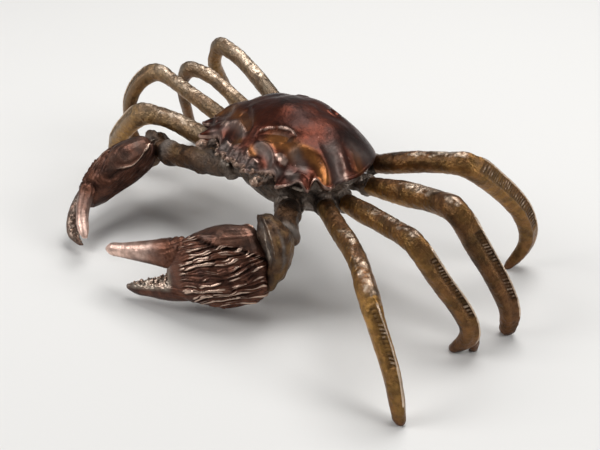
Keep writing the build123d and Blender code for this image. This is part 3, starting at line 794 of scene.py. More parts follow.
def off_curve(flat, curve, samples=70):
    """signed distance of flat places from a smooth curve, positive in front of it, and the share of
    the curve that each is nearest to"""
    keys = chord_keys(curve)
    line = spline_at(keys, curve, np.linspace(0, keys[-1], samples))
    gap = flat[:, None, :] - line[None, :, :]
    away = np.linalg.norm(gap, axis=2)
    near = away.argmin(axis=1)
    rows = np.arange(len(flat))
    heading = np.gradient(line, axis=0)[near]
    offset = gap[rows, near]
    side = np.sign(heading[:, 1] * offset[:, 0] - heading[:, 0] * offset[:, 1])
    return away[rows, near] * side, near / (samples - 1)


def sided(points, side):
    """flat places seen from each side that has the mark, with the rows that lie near it"""
    for mirror in (1, -1):
        if side in (0, mirror):
            flat = points[:, :2] * (mirror, 1)
            close = flat[:, 0] > -3
            yield flat[close], close


def relief(points):
    """height added to the dome at each point"""
    total = np.zeros(len(points))
    for side, curve, crest, behind, before, hollow, distance, reach in FOLDS.values():
        for flat, close in sided(points, side):
            signed, share = off_curve(flat, curve)
            ends = window(share, 0, 0.23, 0.77, 1)
            raised = crest * np.exp(-(signed / np.where(signed > 0, before, behind)) ** 2)
            total[close] += (raised - hollow * bump(signed, distance, reach)) * ends
    x, y = np.abs(points[:, 0]), points[:, 1]
    for (cx, cy), wide, deep, height in SWELLS:
        total += height * bump(x, cx, wide) * bump(y, cy, deep)
    out = np.hypot(x - PIT_CENTRE[0], y - PIT_CENTRE[1]) / PIT_REACH
    return total + PIT_RIM * bump(out, 1.15, 0.35) - PIT_DEPTH * bump(out, 0, 0.75)


def painted(points, key):
    """strength of one patina attribute on the shell; the high strokes are partly painted highlights"""
    total = np.zeros(len(points))
    for name, side, curve, width, strength in STROKES:
        if name == key:
            for flat, close in sided(points, side):
                signed, _ = off_curve(flat, curve, 24)
                total[close] = np.maximum(total[close], strength * bump(signed, 0, width))
    return total


print("folds:", len(FOLDS), "swells:", len(SWELLS), "strokes:", len(STROKES))

# %% Shell mesh
# under the edge and back inside: share of the outline, height, how much of the teeth is left
LIP = [(1.003, -0.12, 1), (1.0, -0.28, 1), (0.99, -0.48, 1), (0.972, -0.8, 1), (0.95, -1.15, 1),
       (0.92, -1.4, 0.85), (0.89, -1.3, 0.6), (0.868, -0.7, 0.2), (0.86, 0.4, 0), (0.82, 3.2, 0),
       (0.7, 5.9, 0), (0.5, 7.9, 0), (0.25, 8.9, 0), (0.03, 9.1, 0)]
LIP_WORN_RINGS = 3      # of those rings, the ones that are rubbed with the edge
BEAD_HEIGHT = 0.2       # of the raised line along the edge
DOME_RINGS, EDGE_RINGS = 74, 40      # closer together where the teeth are


def make_shell():
    shares = np.concatenate([np.linspace(0.015, 0.84, DOME_RINGS), np.linspace(0.85, 1.0, EDGE_RINGS)])
    rings = [shell_ring(s, dome_height(s), smooth_step(1 - TOOTH_DEPTH, 1, s)) for s in shares]
    points, faces = skin(rings + [shell_ring(*step) for step in LIP])
    flat = points.copy()
    outer = len(shares) * SHELL_COLUMNS
    dome, share_of = points[:outer], np.repeat(shares, SHELL_COLUMNS)
    bead = BEAD_HEIGHT * bump(share_of, 0.992, 0.008) * (dome[:, 1] < 6)
    fade = 1 - smooth_step(0.94, 1.0, share_of) * 0.6
    points[-2, 2] += relief(points[-2:-1])[0]
    brow = bump(dome[:, 1], -19.6, 1.5) * smooth_step(15.5, 13.5, np.abs(dome[:, 0]))
    nodules = brow * lumps(dome, (0.4, 1.15, 12), (0.25, 0.6, 13))
    uneven = lumps(dome, (0.07, 3.5, 3), (0.03, 1.1, 4))
    points[:outer, 2] += relief(dome) * fade + bead + nodules + uneven
    thing = make_object("shell", tilt(points), faces)
    proud = weather(thing, reach=8)
    rest = len(points) - outer
    brow, share_of = np.append(brow, np.zeros(rest)), np.append(share_of, np.ones(rest))
    patchy, fine = patches(flat, 2.6, 8), patches(flat, 0.7, 10)
    specks = smooth_step(0.93, 0.97, patches(flat, 0.5, 14)) * smooth_step(0.4, 0.7, patchy)
    on_edge = (np.arange(len(points)) < outer + LIP_WORN_RINGS * SHELL_COLUMNS) * (flat[:, 1] < -8)
    edge_line = 0.72 * smooth_step(0.984, 0.995, share_of) * on_edge * (0.6 + 0.4 * fine)
    # pale edges and crests: rubbed metal, with the painted highlights of the strokes
    bare_and_highlight = np.maximum(painted(flat, "high") * (0.55 + 0.45 * fine), edge_line)
    bare_and_highlight = np.maximum(bare_and_highlight, 0.75 * smooth_step(0.5, 2.0, proud) * np.maximum(brow, edge_line))
    keep(thing, high=np.maximum(bare_and_highlight, 0.8 * specks),
         gold=painted(flat, "gold") * (0.45 + 0.55 * patchy) * (1 - 0.6 * brow),
         low=np.maximum(painted(flat, "low") * (0.6 + 0.4 * fine), brow * (0.35 + 0.5 * fine)))
    finish_piece(thing, "shell_bronze", "carapace")


make_shell()

# %% [markdown]
# ## Limbs as swept sections
#
# A leg is one casting: an oval upper part, a knuckle at the knee, and a lower part drawn out to a
# crest along its outer side. The section follows the leg's course. Past the middle it turns a
# little, so that the crest faces the tail. The table gives its width, its depth and how sharp the
# crest is, against the share of the way to the knee and past it, so every leg bends where its own
# knee is.

# %% Sweeping a section
KNEE_POINT, KNEE = 3, 0.5625
# along a limb: share of its length, width, depth, how sharp its outer edge is, and how far its
# middle stands out
LEG_SIZES = [(0, 4.5, 4.6, 0, 0), (0.25, 4.5, 5.2, 0, 0), (0.5, 4.6, 5.2, 0.15, 0.1),
             (KNEE, 4.7, 5.7, 0.3, 0.45), (0.625, 4.3, 5.5, 0.55, 0.15), (0.8, 3.8, 5.0, 0.7, 0),
             (0.93, 3.3, 4.0, 0.45, 0), (1, 2.7, 2.9, 0.1, 0)]
# how thick each leg is beside that table
LEG_GIRTH = {"leg_left_1": 1.0, "leg_left_2": 1.04, "leg_left_3": 1.18, "leg_left_4": 1.1,
             "leg_right_1": 1.12, "leg_right_2": 0.92, "leg_right_3": 0.86, "leg_right_4": 0.95}
GIRTH_FROM = 0.2
ARM_SIZES = [(0, 6.0, 6.0, 0, 0), (0.35, 6.4, 7.2, 0.1, 0), (0.62, 5.6, 6.2, 0, 0),
             (0.8, 6.4, 6.8, 0.2, 0), (1, 4.8, 5.2, 0, 0)]
ARM_PATHS = {
    "left": [(13.2, -13.4, 20.2), (17.9, -17.6, 20.6), (21.6, -21.0, 19.6), (22.8, -23.4, 18.8)],
    "right": [(-13.4, -13.2, 20.2), (-21.5, -17.2, 19.8), (-31.5, -19.6, 18.2), (-37.4, -20.4, 17.4)],
}
UP = np.array([0.0, 0.0, 1.0])
TURN_SPAN = (0.47, 0.68)      # shares of a leg over which its section turns


def unit(vector):
    return vector / np.linalg.norm(vector)


def limb_frames(path, shares, level_end, knee, turn):
    """places, and the across and outer directions kept square to the bend; past the middle they
    turn, so that a crest on the outer side can face the tail"""
    places, along = course(path, shares, knee)
    if level_end:
        settle = smooth_step(0.9, 1, np.asarray(shares))[:, None]
        along = along * (1 - settle) - UP * settle
        along /= np.linalg.norm(along, axis=1)[:, None]
    across = np.cross(UP, along[0])
    sideways, outer = [], []
    for heading in along:
        across = unit(across - heading * np.dot(across, heading))
        sideways.append(across)
        outer.append(np.cross(heading, across))
    sideways, outer = np.array(sideways), np.array(outer)
    angle = (turn * smooth_step(*TURN_SPAN, np.asarray(shares)))[:, None]
    turned = sideways * np.cos(angle) + outer * np.sin(angle)
    return places, turned, outer * np.cos(angle) - sideways * np.sin(angle)


def section(sizes, shares, angles, girth=1.0):
    """across and outer offsets of points at shares along a limb and at angles round it"""
    table = np.array(sizes)
    width, depth, edge, lift = spline_at(table[:, 0], table[:, 1:], shares).T
    narrowing = 1 - np.clip(edge, 0, 1) * np.maximum(0, np.sin(angles))
    swell = 1 + (girth - 1) * np.minimum(1, shares / GIRTH_FROM)
    return width / 2 * np.cos(angles) * narrowing * swell, (depth / 2 * np.sin(angles) + lift) * swell


def sweep(path, sizes, shares, sides, level_end=False, knee=None, turn=0.0, girth=1.0):
    """rings of a limb, with the share and the angle of each of their points and its places"""
    count = len(shares)
    places, sideways, outer = limb_frames(path, shares, level_end, knee, turn)
    share, angle = np.repeat(shares, sides), np.tile(turns(sides), count)
    x, y = section(sizes, share, angle, girth)
    row = np.repeat(np.arange(count), sides)
    rings = places[row] + x[:, None] * sideways[row] + y[:, None] * outer[row]
    return rings.reshape(count, sides, 3), share, angle, places


print("leg sections:", len(LEG_SIZES))

# %% [markdown]
# ## Legs with cut combs
#
# A raised line runs down the crest of each lower leg. Beside it lies a trough, and in the trough the
# chaser cut a comb: a row of short slanting notches. All of it is pressed into the mesh, whose
# stations stand close together there. The line and the comb's teeth are rubbed bright, the line with
# a painted highlight on it, and the notches are dark. A highlight is painted along the upper side of
# each leg up to its knee, and the right legs have a duller, greyish sheen painted on their upper sides.

# %% Legs
LEG_SIDES = 64
ROOT_STATIONS, COMB_STATIONS, FOOT_STATIONS = 110, 170, 60
TOE_FROM, TOE_END = 0.975, 1.003      # shares between which a foot is rounded off
CREST = radians(90)
CREST_TURN = {"left": radians(-15), "right": radians(15)}
# each leg's comb: the shares between which it is cut, and how far round from the crest it reaches
COMBS = {"1": (0.595, 0.79, 1.2), "2": (0.62, 0.84, 1.2), "3": (0.635, 0.87, 1.2), "4": (0.595, 0.86, 1.6)}
CUT_PITCH, CUT_DEPTH = 0.85, 0.22
LINE_HEIGHT, TROUGH_DEPTH, BANK_HEIGHT = 0.2, 0.2, 0.16
# how golden each leg is at its root, past its knee and near its foot, how strong the duller greyish
# sheen painted on its upper side is, and how bright the highlight painted on its upper side is
LEG_GOLD = {"1": (0.8, 1.0, 0.4), "2": (1.0, 0.35, 0.15), "3": (0.9, 0.2, 0.1), "4": (0.3, 0.55, 0.25)}
LEG_GREY_SHEEN = {"left": 0.0, "right": 0.72}
LEG_TOP_HIGHLIGHT = {"1": 0.72, "2": 0.72, "3": 0.78, "4": 0.8}


def leg_shares(start, end):
    """stations along a leg, close together where its comb is cut"""
    return np.concatenate([np.linspace(0, start - 0.012, ROOT_STATIONS),
                           np.linspace(start - 0.01, end + 0.01, COMB_STATIONS),
                           np.linspace(end + 0.012, 1, FOOT_STATIONS)])


def make_leg(name, seed):
    side, number = name.split("_")[1:]
    start, end, wide = COMBS[number]
    shares = leg_shares(start, end)
    rings, share, angle, places = sweep(LEG_PATHS[name], LEG_SIZES, shares, LEG_SIDES, True,
                                        (KNEE_POINT, KNEE), CREST_TURN[side], LEG_GIRTH[name])
    reach = np.clip((shares - TOE_FROM) / (TOE_END - TOE_FROM), 0, 1)
    rounding = np.sqrt(1 - reach ** 2)[:, None, None]
    points, faces = skin(places[:, None, :] + (rings - places[:, None, :]) * rounding)
    thing = make_object("bronze_" + name, points, faces)
    normals = surface(thing)[1]

    # where each point lies: along the leg, round its crest, on its upper or lower part, in its comb
    share, angle = with_ends(share, angle)
    top, away = np.sin(angle), np.abs(angle - CREST)
    run = chord_keys(places)
    length = np.interp(end, shares, run) - np.interp(start, shares, run)
    upper = window(share, 0.1, 0.2, KNEE - 0.07, KNEE - 0.01)
    lower = window(share, KNEE, KNEE + 0.045, 0.9, 0.96)
    comb = window(share, start - 0.006, start + 0.006, end - 0.006, end + 0.006)
    trough = window(away, 0.16, 0.36, wide - 0.25, wide) * smooth_step(0, 0.7, comb)
    phase = ((share - start) / (end - start) * round(length / CUT_PITCH) + 0.7 * away
             + 0.22 * blobs(points, 1.8, seed + 6))
    cut = smooth_step(0.26, 0.38, np.abs(phase - np.floor(phase) - 0.5))
    worn_cuts = 0.7 + 0.3 * smooth_step(-0.5, 0.2, blobs(points, 1.6, seed + 7))
    band = window(away, 0.24, 0.36, wide - 0.3, wide - 0.15) * comb * worn_cuts
    slant = share + 0.014 * np.cos(angle) + 0.008 * blobs(points, 1.5, seed + 3)

    shape = LINE_HEIGHT * bump(away, 0, 0.16) * lower - TROUGH_DEPTH * trough
    shape += BANK_HEIGHT * bump(away, wide + 0.05, 0.22) * lower
    shape -= CUT_DEPTH * cut * band
    shape -= 0.2 * smooth_step(0.8, 1.0, top) * upper
    shape -= 0.14 * bump(slant, KNEE + 0.016, 0.006) * smooth_step(0.1, 0.9, top)
    shape -= 0.12 * bump(slant, KNEE - 0.085, 0.008) * smooth_step(-0.3, 0.7, top)
    hammered = 0.08 * blobs(points, 0.9, seed + 2) * (1 - 0.6 * lower)
    shape += lumps(points, (0.12, 5.0, seed), (0.07, 2.0, seed + 1)) + hammered
    push_out(thing, points, normals, shape, on_floor=True)

    body = smooth_step(0.985, 0.96, share)
    proud = weather(thing, reach=6, where=body)
    flow = np.column_stack([share * run[-1] / 5.0, np.cos(angle) * 1.5, np.sin(angle) * 1.5])
    streaks, fine = patches(flow, 1, seed + 5), patches(points, 0.8, seed + 4)
    # the crest line: rubbed metal with a painted highlight along it
    line = smooth_step(0.38, 0.18, away) * lower * (0.6 + 0.4 * fine)
    to_knee = window(share, 0.1, 0.3, KNEE - 0.01, KNEE + 0.035)
    # painted highlight: the upper side of the leg is made pale in streaks up to its knee
    painted_top_highlight = LEG_TOP_HIGHLIGHT[number] * smooth_step(0.35, 0.85, top) * to_knee * smooth_step(-0.2, 0.6, streaks)
    painted_top_highlight *= 0.55 + 0.45 * fine
    worn = 0.6 * smooth_step(0.8, 2.0, proud) * (1 - lower) * fine
    golden = np.interp(share, (0.08, 0.66, 0.95), LEG_GOLD[number]) * (0.45 + 0.55 * streaks)
    dark = [cut * band, 0.6 * trough, 0.6 * smooth_step(0.5, 1.8, -proud),
            0.7 * smooth_step(0.55, 0.85, 1 - streaks) * fine]
    # a duller greyish sheen painted on the upper sides of the right legs, in streaks
    keep(thing, haze=LEG_GREY_SHEEN[side] * smooth_step(-1.1, 0.4, top) * (0.45 + 0.55 * streaks),
         high=np.max([line, painted_top_highlight, worn, 0.52 * (1 - cut) * band], axis=0) * body,
         gold=golden * smooth_step(1.3, -0.2, top * (share < KNEE)) * body,
         low=np.max(dark, axis=0) * body)
    finish_piece(thing, "leg_bronze", name)


for index, name in enumerate(LEG_PATHS):
    make_leg(name, 20 + 7 * index)


# %% Second toe
TOE = [(62.0, -0.2, 7.6), (62.6, 1.2, 3.6), (61.9, 2.1, 0)]
TOE_SIZES = [(0, 2.6, 3.0, 0, 0), (0.5, 2.4, 2.7, 0, 0), (1, 1.8, 2.0, 0, 0)]
TOE_STATIONS, TOE_SIDES = 50, 36


def make_toe():
    """one foot stands on two toes; this is the outer one"""
    rings = sweep(TOE, TOE_SIZES, np.linspace(0, 1, TOE_STATIONS), TOE_SIDES, True)[0]
    points, faces = skin(rings)
    thing = make_object("second_toe", points, faces)
    uneven = lumps(points, (0.12, 1.6, 78), (0.04, 0.7, 79))
    push_out(thing, points, surface(thing)[1], uneven, on_floor=True)
    finish_piece(thing, "leg_bronze")


make_toe()

# %% [markdown]
# ## Grains laid by Geometry Nodes
#
# Small rounded grains roughen the brow and the biting edges of the claws. Each grain is set on a
# point of a guide mesh. The point carries two directions: lean, along the grain, and lift, away
# from the surface. One tree of Geometry Nodes lays them all.


# %% Grain-laying tree
GRAIN_SIZES = {"Length": 0.0009, "Width": 0.0003, "Height": 0.0002, "Variation": 0.2}


def build_grain_tree():
    tree = bpy.data.node_groups.new("lay grains", "GeometryNodeTree")
    socket(tree, "Geometry", "INPUT", "NodeSocketGeometry")
    for name, value in GRAIN_SIZES.items():
        socket(tree, name, "INPUT", "NodeSocketFloat", value)
    socket(tree, "Seed", "INPUT", "NodeSocketInt", 4)
    socket(tree, "Material", "INPUT", "NodeSocketMaterial")
    socket(tree, "Geometry", "OUTPUT", "NodeSocketGeometry")
    into = tree.nodes.new("NodeGroupInput").outputs
    out = tree.nodes.new("NodeGroupOutput").inputs["Geometry"]

    def direction_of(name):
        node = add(tree, "GeometryNodeInputNamedAttribute", {"Name": name}, data_type="FLOAT_VECTOR")
        return node.outputs["Attribute"]

    grain_mesh = add(tree, "GeometryNodeMeshUVSphere", {"Segments": 8, "Rings": 6, "Radius": 0.5})
    lean = add(tree, "FunctionNodeAlignRotationToVector", {"Vector": direction_of("lean")}, axis="X")
    feeds = {"Rotation": lean.outputs["Rotation"], "Vector": direction_of("lift")}
    lift = add(tree, "FunctionNodeAlignRotationToVector", feeds, axis="Z", pivot_axis="X")
    size = add(tree, "ShaderNodeCombineXYZ", {"X": into["Length"], "Y": into["Width"], "Z": into["Height"]})
    least = math_node(tree, "SUBTRACT", 1.0, into["Variation"])
    most = math_node(tree, "ADD", 1.0, into["Variation"])
    chance = add(tree, "FunctionNodeRandomValue", {2: least, 3: most, "Seed": into["Seed"]},
                 data_type="FLOAT")
    scaled = add(tree, "ShaderNodeVectorMath", {0: size.outputs[0], "Scale": chance.outputs[1]},
                 operation="SCALE")
    lay = add(tree, "GeometryNodeInstanceOnPoints",
              {"Points": into["Geometry"], "Instance": grain_mesh.outputs["Mesh"],
               "Rotation": lift.outputs["Rotation"], "Scale": scaled.outputs[0]})
    real = add(tree, "GeometryNodeRealizeInstances", {"Geometry": lay.outputs["Instances"]})
    smooth = add(tree, "GeometryNodeSetShadeSmooth", {"Geometry": real.outputs["Geometry"]})
    metal = add(tree, "GeometryNodeSetMaterial",
                {"Geometry": smooth.outputs["Geometry"], "Material": into["Material"]})
    tree.links.new(metal.outputs["Geometry"], out)
    return tree


grain_tree = build_grain_tree()
print("tree:", grain_tree.name, len(grain_tree.nodes), "nodes")


# %% Laying grains on guide points
def lay_grains(name, guides, slot, bare_and_highlight, **values):
    """one mesh of grains on guide places, given in crab millimetres"""
    places, lean, lift = guides
    guide = bpy.data.meshes.new(name)
    guide.from_pydata(((places + SHIFT) * MM).tolist(), [], [])
    for key, vectors in (("lean", lean), ("lift", lift)):
        layer = guide.attributes.new(key, "FLOAT_VECTOR", "POINT")
        layer.data.foreach_set("vector", np.asarray(vectors, np.float32).ravel())
    thing = put_in_scene(name, guide)
    laying = thing.modifiers.new("grains", "NODES")
    laying.node_group = grain_tree
    values["Material"] = METALS[slot]
    for item in grain_tree.interface.items_tree:
        if item.item_type == "SOCKET" and item.in_out == "INPUT" and item.name in values:
            laying[item.identifier] = values[item.name]
    apply_modifiers(thing)
    points, normals = surface(thing)
    points = points / MM
    points += normals * (0.16 * blobs(points, 0.55, 15))[:, None]
    write_points(thing, points * MM)
    uneven = patches(points, 0.7, 16)
    keep(thing, high=bare_and_highlight * smooth_step(0.35, 0.75, uneven), gold=0.75 * (1 - uneven),
         low=0.5 * smooth_step(0.45, 0.15, uneven))
    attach(thing, "root")
    print(name, len(places), "grains,", len(points), "points")


print("grains ready")

# %% [markdown]
# ## Claws bent round a curve
#
# A claw is drawn flat, as ovals along its length, and then bent inward past its base. The function
# below turns claw coordinates (how far along, how high, how thick) into a place, and its partner
# goes back the other way, so that fur can be cut by claw coordinates after the forms have been
# melted together.

# %% Claw coordinates
# a claw's rings: how far along, middle height, half height, half thickness, middle outwards
PALM = [(3, 0, 9.6, 4.8, 0), (8, -0.3, 10.1, 5.3, 0), (13, -0.5, 8.9, 4.9, 0), (17, -0.9, 7.7, 4.2, 0),
        (20, -1.7, 5.2, 2.9, 0), (22, -2.4, 2.4, 1.6, 0)]
LONG_REAR = [(-3.2, -1.4, 4.4, 2.2, 0), (-1, -0.3, 7.8, 3.8, 0)]
SHORT_REAR = [(-2.2, -0.8, 4.6, 2.2, 0), (-0.6, -0.2, 7.6, 3.6, 0)]
UPPER_STRAIGHT = [(15, 2.7, 4.4, 3.2, 0), (21, 2.9, 3.8, 2.9, 0), (26, 3.1, 3.0, 2.5, 0),
                  (31.4, 3.2, 2.3, 2.0, 0), (36.4, 3.3, 1.75, 1.6, 0), (38.8, 3.4, 1.25, 1.15, 0),
                  (39.7, 3.4, 0.6, 0.6, 0)]
LOWER_STRAIGHT = [(14, -5.0, 3.4, 3.2, 0), (22.5, -5.7, 3.1, 2.7, 0), (28.5, -6.0, 2.0, 2.0, 0),
                  (32, -6.1, 1.4, 1.4, 0), (34.5, -5.8, 0.6, 0.6, 0)]
UPPER_BENT = [(12.5, 1.4, 4.0, 2.9, 2.2), (19, 1.6, 3.2, 2.3, 2.0), (24, 2.0, 2.6, 1.9, 1.3),
              (29, 2.8, 2.0, 1.6, 0.6), (33, 3.7, 1.4, 1.2, 0), (34.6, 4.2, 0.6, 0.6, -0.2)]
LOWER_BENT = [(14, -5.0, 3.4, 3.2, 0.8), (20, -5.5, 3.2, 2.6, 1.7), (25, -5.8, 2.5, 2.1, 2.1),
              (29, -5.5, 1.9, 1.7, 2.0), (32, -4.7, 1.4, 1.4, 1.0), (34, -3.6, 0.7, 0.7, -0.4)]
# teeth on the lower finger: how far along, height of the edge, size, middle outwards
BITE_STRAIGHT = [(20.5, -2.9, 1.5, 0), (23.5, -3.2, 1.3, 0), (26.3, -3.8, 1.1, 0), (28.8, -4.5, 0.9, 0)]
BITE_BENT = [(20.5, -2.9, 1.5, 1.7), (23.5, -3.4, 1.3, 2.0), (26.3, -3.9, 1.1, 2.1)]
# a wrist's rings up the claw's height: height, middle along, half length, half thickness
WRIST_TALL = [(-6.0, -2.8, 0.9, 1.6), (-3.6, -4.2, 1.9, 2.8), (-1, -5.2, 2.6, 3.8), (2, -5.8, 3.1, 4.4),
              (6, -5.5, 3.6, 4.6), (9.4, -4.4, 3.0, 3.8), (11.8, -3.0, 1.4, 2.0)]
WRIST_LOW = [(-6.5, -1.8, 1.6, 2.6), (-3, -3.0, 3.0, 3.8), (0, -4.2, 3.7, 4.4), (2.6, -4.6, 3.1, 3.8),
             (4.3, -4.2, 1.5, 2.1)]
# a claw is straight as far as the first distance, and reaches its full bend over the second
BEND_FROM, BEND_SPAN = 6.0, 31.0
CLAWS = {
    "left": dict(base=(20.7, -28.8, 14.0), along=(-0.72, -0.68, -0.13), roll=20, bend=18, height=1.0,
                 side=1, wrist=WRIST_TALL, palm=LONG_REAR + PALM, upper=UPPER_STRAIGHT, lower=LOWER_STRAIGHT,
                 bite=BITE_STRAIGHT),
    "right": dict(base=(-40.0, -24.0, 16.2), along=(0.12, -0.98, -0.12), roll=38, bend=62, height=0.86,
                  side=-1, wrist=WRIST_LOW, palm=SHORT_REAR + PALM, upper=UPPER_BENT, lower=LOWER_BENT,
                  bite=BITE_BENT),
}


def claw_axes(claw):
    """along, height and outward directions of a claw"""
    along = unit(np.array(claw["along"]))
    level = unit(np.cross(along, UP)) * -claw["side"]
    rise = unit(np.cross(level, along))
    if rise[2] < 0:
        rise = -rise
    roll = radians(claw["roll"])
    return along, rise * cos(roll) - level * sin(roll), level * cos(roll) + rise * sin(roll)


def from_claw(claw, distance, high, thick):
    """places of claw coordinates, bent"""
    along, rise, out = claw_axes(claw)
    curve = radians(claw["bend"]) / BEND_SPAN
    past = np.maximum(0, distance - BEND_FROM)
    angle = curve * past
    before = np.minimum(distance, BEND_FROM)
    ahead = before + np.sin(angle) / curve
    inward = (1 - np.cos(angle)) / curve
    face = np.multiply.outer(np.sin(angle), along) + np.multiply.outer(np.cos(angle), out)
    base = np.array(claw["base"]) + np.multiply.outer(ahead, along) - np.multiply.outer(inward, out)
    return base + np.multiply.outer(high, rise) + face * np.asarray(thick)[..., None]


def to_claw(claw, points):
    """claw coordinates of places: distance along, height, thickness"""
    along, rise, out = claw_axes(claw)
    offset = points - np.array(claw["base"])
    ahead, high, side = offset @ along, offset @ rise, offset @ out
    radius = BEND_SPAN / radians(claw["bend"])
    angle = np.arctan2(ahead - BEND_FROM, side + radius)
    bent = angle > 0
    distance = np.where(bent, BEND_FROM + angle * radius, ahead)
    thick = np.where(bent, np.hypot(ahead - BEND_FROM, side + radius) - radius, side)
    return distance, high, thick


def claw_rings(claw, table, count, sides, roundness):
    """smooth rings through a table of (along, middle, half height, half thickness, middle outwards)"""
    table = np.array(table, float)
    distance = np.linspace(table[0, 0], table[-1, 0], count)
    middle, tall, thick, outward = spline_at(table[:, 0], table[:, 1:], distance).T
    s, c = np.sin(turns(sides)), np.cos(turns(sides))
    s, c = np.sign(s) * np.abs(s) ** roundness, np.sign(c) * np.abs(c) ** roundness
    high = (middle[:, None] + np.outer(tall, s)) * claw["height"]
    out = outward[:, None] + np.outer(thick, c)
    return from_claw(claw, np.repeat(distance[:, None], sides, 1), high, out)


test = from_claw(CLAWS["right"], np.array([25.0]), np.array([2.0]), np.array([1.0]))
print("there and back:", [np.round(v, 3) for v in to_claw(CLAWS["right"], test)])


# %% Palm and lower finger
# rings, points in each, and roundness of a section, which is 1 for an ellipse and less for a squarer one
PALM_MESH, LOWER_MESH, TOOTH_MESH, UPPER_MESH = (34, 48, 0.92), (40, 32, 1), (8, 16, 1), (110, 64, 0.95)
PALM_GRAIN = 0.18
LOCK_WIDTH, HAIR_WIDTH = 1.35, 0.62
LOCK_LENGTH = 13.0
PALM_ROUGHNESS = {"left": 1.0, "right": 0.35}      # of the lower finger's inner edge
# painted shade: the right claw's fur and crown are darkened and its pale spots dimmed
PALM_PAINTED_SHADE = {"left": 0.0, "right": 0.45}
GROOVE_DEPTH, RIDGE_HEIGHT = 0.45, 0.4             # along the line where the fur meets the crown


def fur(distance, high, thick, claw, seed):
    """depth of the chased fur: overlapping locks whose points lie towards the wrist, and fine hairs"""
    v = high / claw["height"]
    flat = np.column_stack([distance, v, thick])
    flow = v - (20 - distance) * (0.19 + 0.012 * v) + 0.4 * np.sin(distance / 3.1 + v / 3)
    flow += lumps(flat, (0.9, (5.5, 2.8, 9), seed), (0.25, (2, 1, 5), seed + 11))
    lane = flow / LOCK_WIDTH
    strand = np.floor(lane)
    across = np.abs(lane - strand - 0.5) * 2
    step = distance / LOCK_LENGTH + strand * 0.618 + 0.15 * blobs(flat, (4, 2, 9), seed + 3)
    run = step - np.floor(step)
    lock = np.clip(1 - (across / np.clip(0.3 + 1.1 * np.sqrt(run), 0, 1)) ** 2.2, 0, 1) * (1 - 0.4 * run)
    fine = (flow + 0.35 * blobs(flat, (3, 0.9, 4), seed + 2)) / HAIR_WIDTH
    hairs = 1 - (np.abs(fine - np.floor(fine) - 0.5) * 2) ** 2
    return (0.55 + 0.25 * blobs(flat, (4, 2.5, 6), seed + 12)) * lock + 0.4 * hairs


def palm_forms(claw):
    """palm, lower finger and its teeth, before they are melted together"""
    forms = [skin(claw_rings(claw, claw["palm"], *PALM_MESH)),
             skin(claw_rings(claw, claw["lower"], *LOWER_MESH))]
    for along, high, size, outward in claw["bite"]:
        rows = [(along - size, high - size, 0.3, 0.5, outward),
                (along, high - size * 0.6, size * 0.9, 0.8, outward),
                (along + size, high - size, 0.3, 0.4, outward)]
        forms.append(skin(claw_rings(claw, rows, *TOOTH_MESH)))
    return forms


def make_palm(side, seed):
    claw = CLAWS[side]
    thing = melted("bronze_claw_" + side, palm_forms(claw), PALM_GRAIN, 6)
    points, normals = surface(thing)

    # the smooth crown along the palm's top, the groove and ridge at its edge, and the furred part
    distance, high, thick = to_claw(claw, points)
    v = high / claw["height"]
    outer = smooth_step(-1.0, 1.2, thick)
    outer_line = 3.9 + 0.36 * distance - 0.008 * distance ** 2
    crown_line = outer_line * outer + (8.9 - 0.1 * distance) * (1 - outer) + 0.3 * np.sin(distance / 1.7)
    crown = smooth_step(crown_line - 0.2, crown_line + 0.6, v)
    frayed = distance + 1.8 * blobs(points, 2.0, seed + 9)
    ends = smooth_step(-3.4, -2.2, distance) * smooth_step(21, 14, frayed)
    ends *= smooth_step(-0.98, -0.72, normals @ claw_axes(claw)[1])
    groove = bump(v, crown_line - 0.5, 0.45) * smooth_step(19, 15, distance)
    ridge = bump(v, crown_line + 0.15, 0.25) * (1 - outer) * smooth_step(17, 9, distance)
    furred = ends * (1 - crown) * (0.75 + 0.25 * outer)
    depth = fur(distance, high, thick, claw, seed)
    points += normals * (furred * (depth - 0.5) - GROOVE_DEPTH * groove + RIDGE_HEIGHT * ridge)[:, None]

    # the lower finger's inner edge is rough, save where the surface faces the claw's tip
    ahead = from_claw(claw, distance + 0.5, high, thick) - from_claw(claw, distance, high, thick)
    facing = np.sum(normals * ahead, axis=1) / np.linalg.norm(ahead, axis=1)
    rough = smooth_step(19.5, 22.5, distance) * smooth_step(-6.2, -4.6, v) * PALM_ROUGHNESS[side]
    rough *= smooth_step(0.8, 0.45, facing)
    points += normals * (rough * lumps(points, (0.32, 0.7, seed + 5), (0.3, 1.6, seed + 6)))[:, None]
    scratched = 0.12 * blobs(np.column_stack([distance, v, thick]), (5, 0.5, 2), seed + 4) * crown
    uneven = lumps(points, (0.1, 3.0, seed + 7), (0.03, 0.9, seed + 8)) + scratched
    push_out(thing, points, normals, uneven)

    proud = weather(thing, reach=5)
    patchy = patches(points, 2.2, seed + 10)
    # the crests of the fur's locks: rubbed metal, with a painted highlight on them
    lock_wear_and_highlight = smooth_step(0.5, 0.85, depth) * furred * smooth_step(0.05, 0.55, patchy)
    # painted shade on the right claw, which darkens it and dims its pale spots
    dark = PALM_PAINTED_SHADE[side]
    worn = np.maximum(0.85 * lock_wear_and_highlight * (1 - dark),
                      smooth_step(0.2, 1.2, proud) * (0.3 + 0.5 * furred) * (1 - 1.5 * dark))
    hollow = smooth_step(0, 1, -proud) * furred + smooth_step(0.5, 2, -proud) * (1 - furred)
    hollow += 0.8 * groove
    keep(thing, high=np.max([worn, 0.75 * ridge, 0.75 * rough * patchy], axis=0),
         low=np.maximum(hollow, dark * (furred + 0.7 * crown)),
         gold=np.maximum(0.1 * crown * patchy, rough * 0.9))
    finish_piece(thing, "claw_bronze", "claw_" + side)


for side, seed in (("left", 61), ("right", 71)):
    make_palm(side, seed)


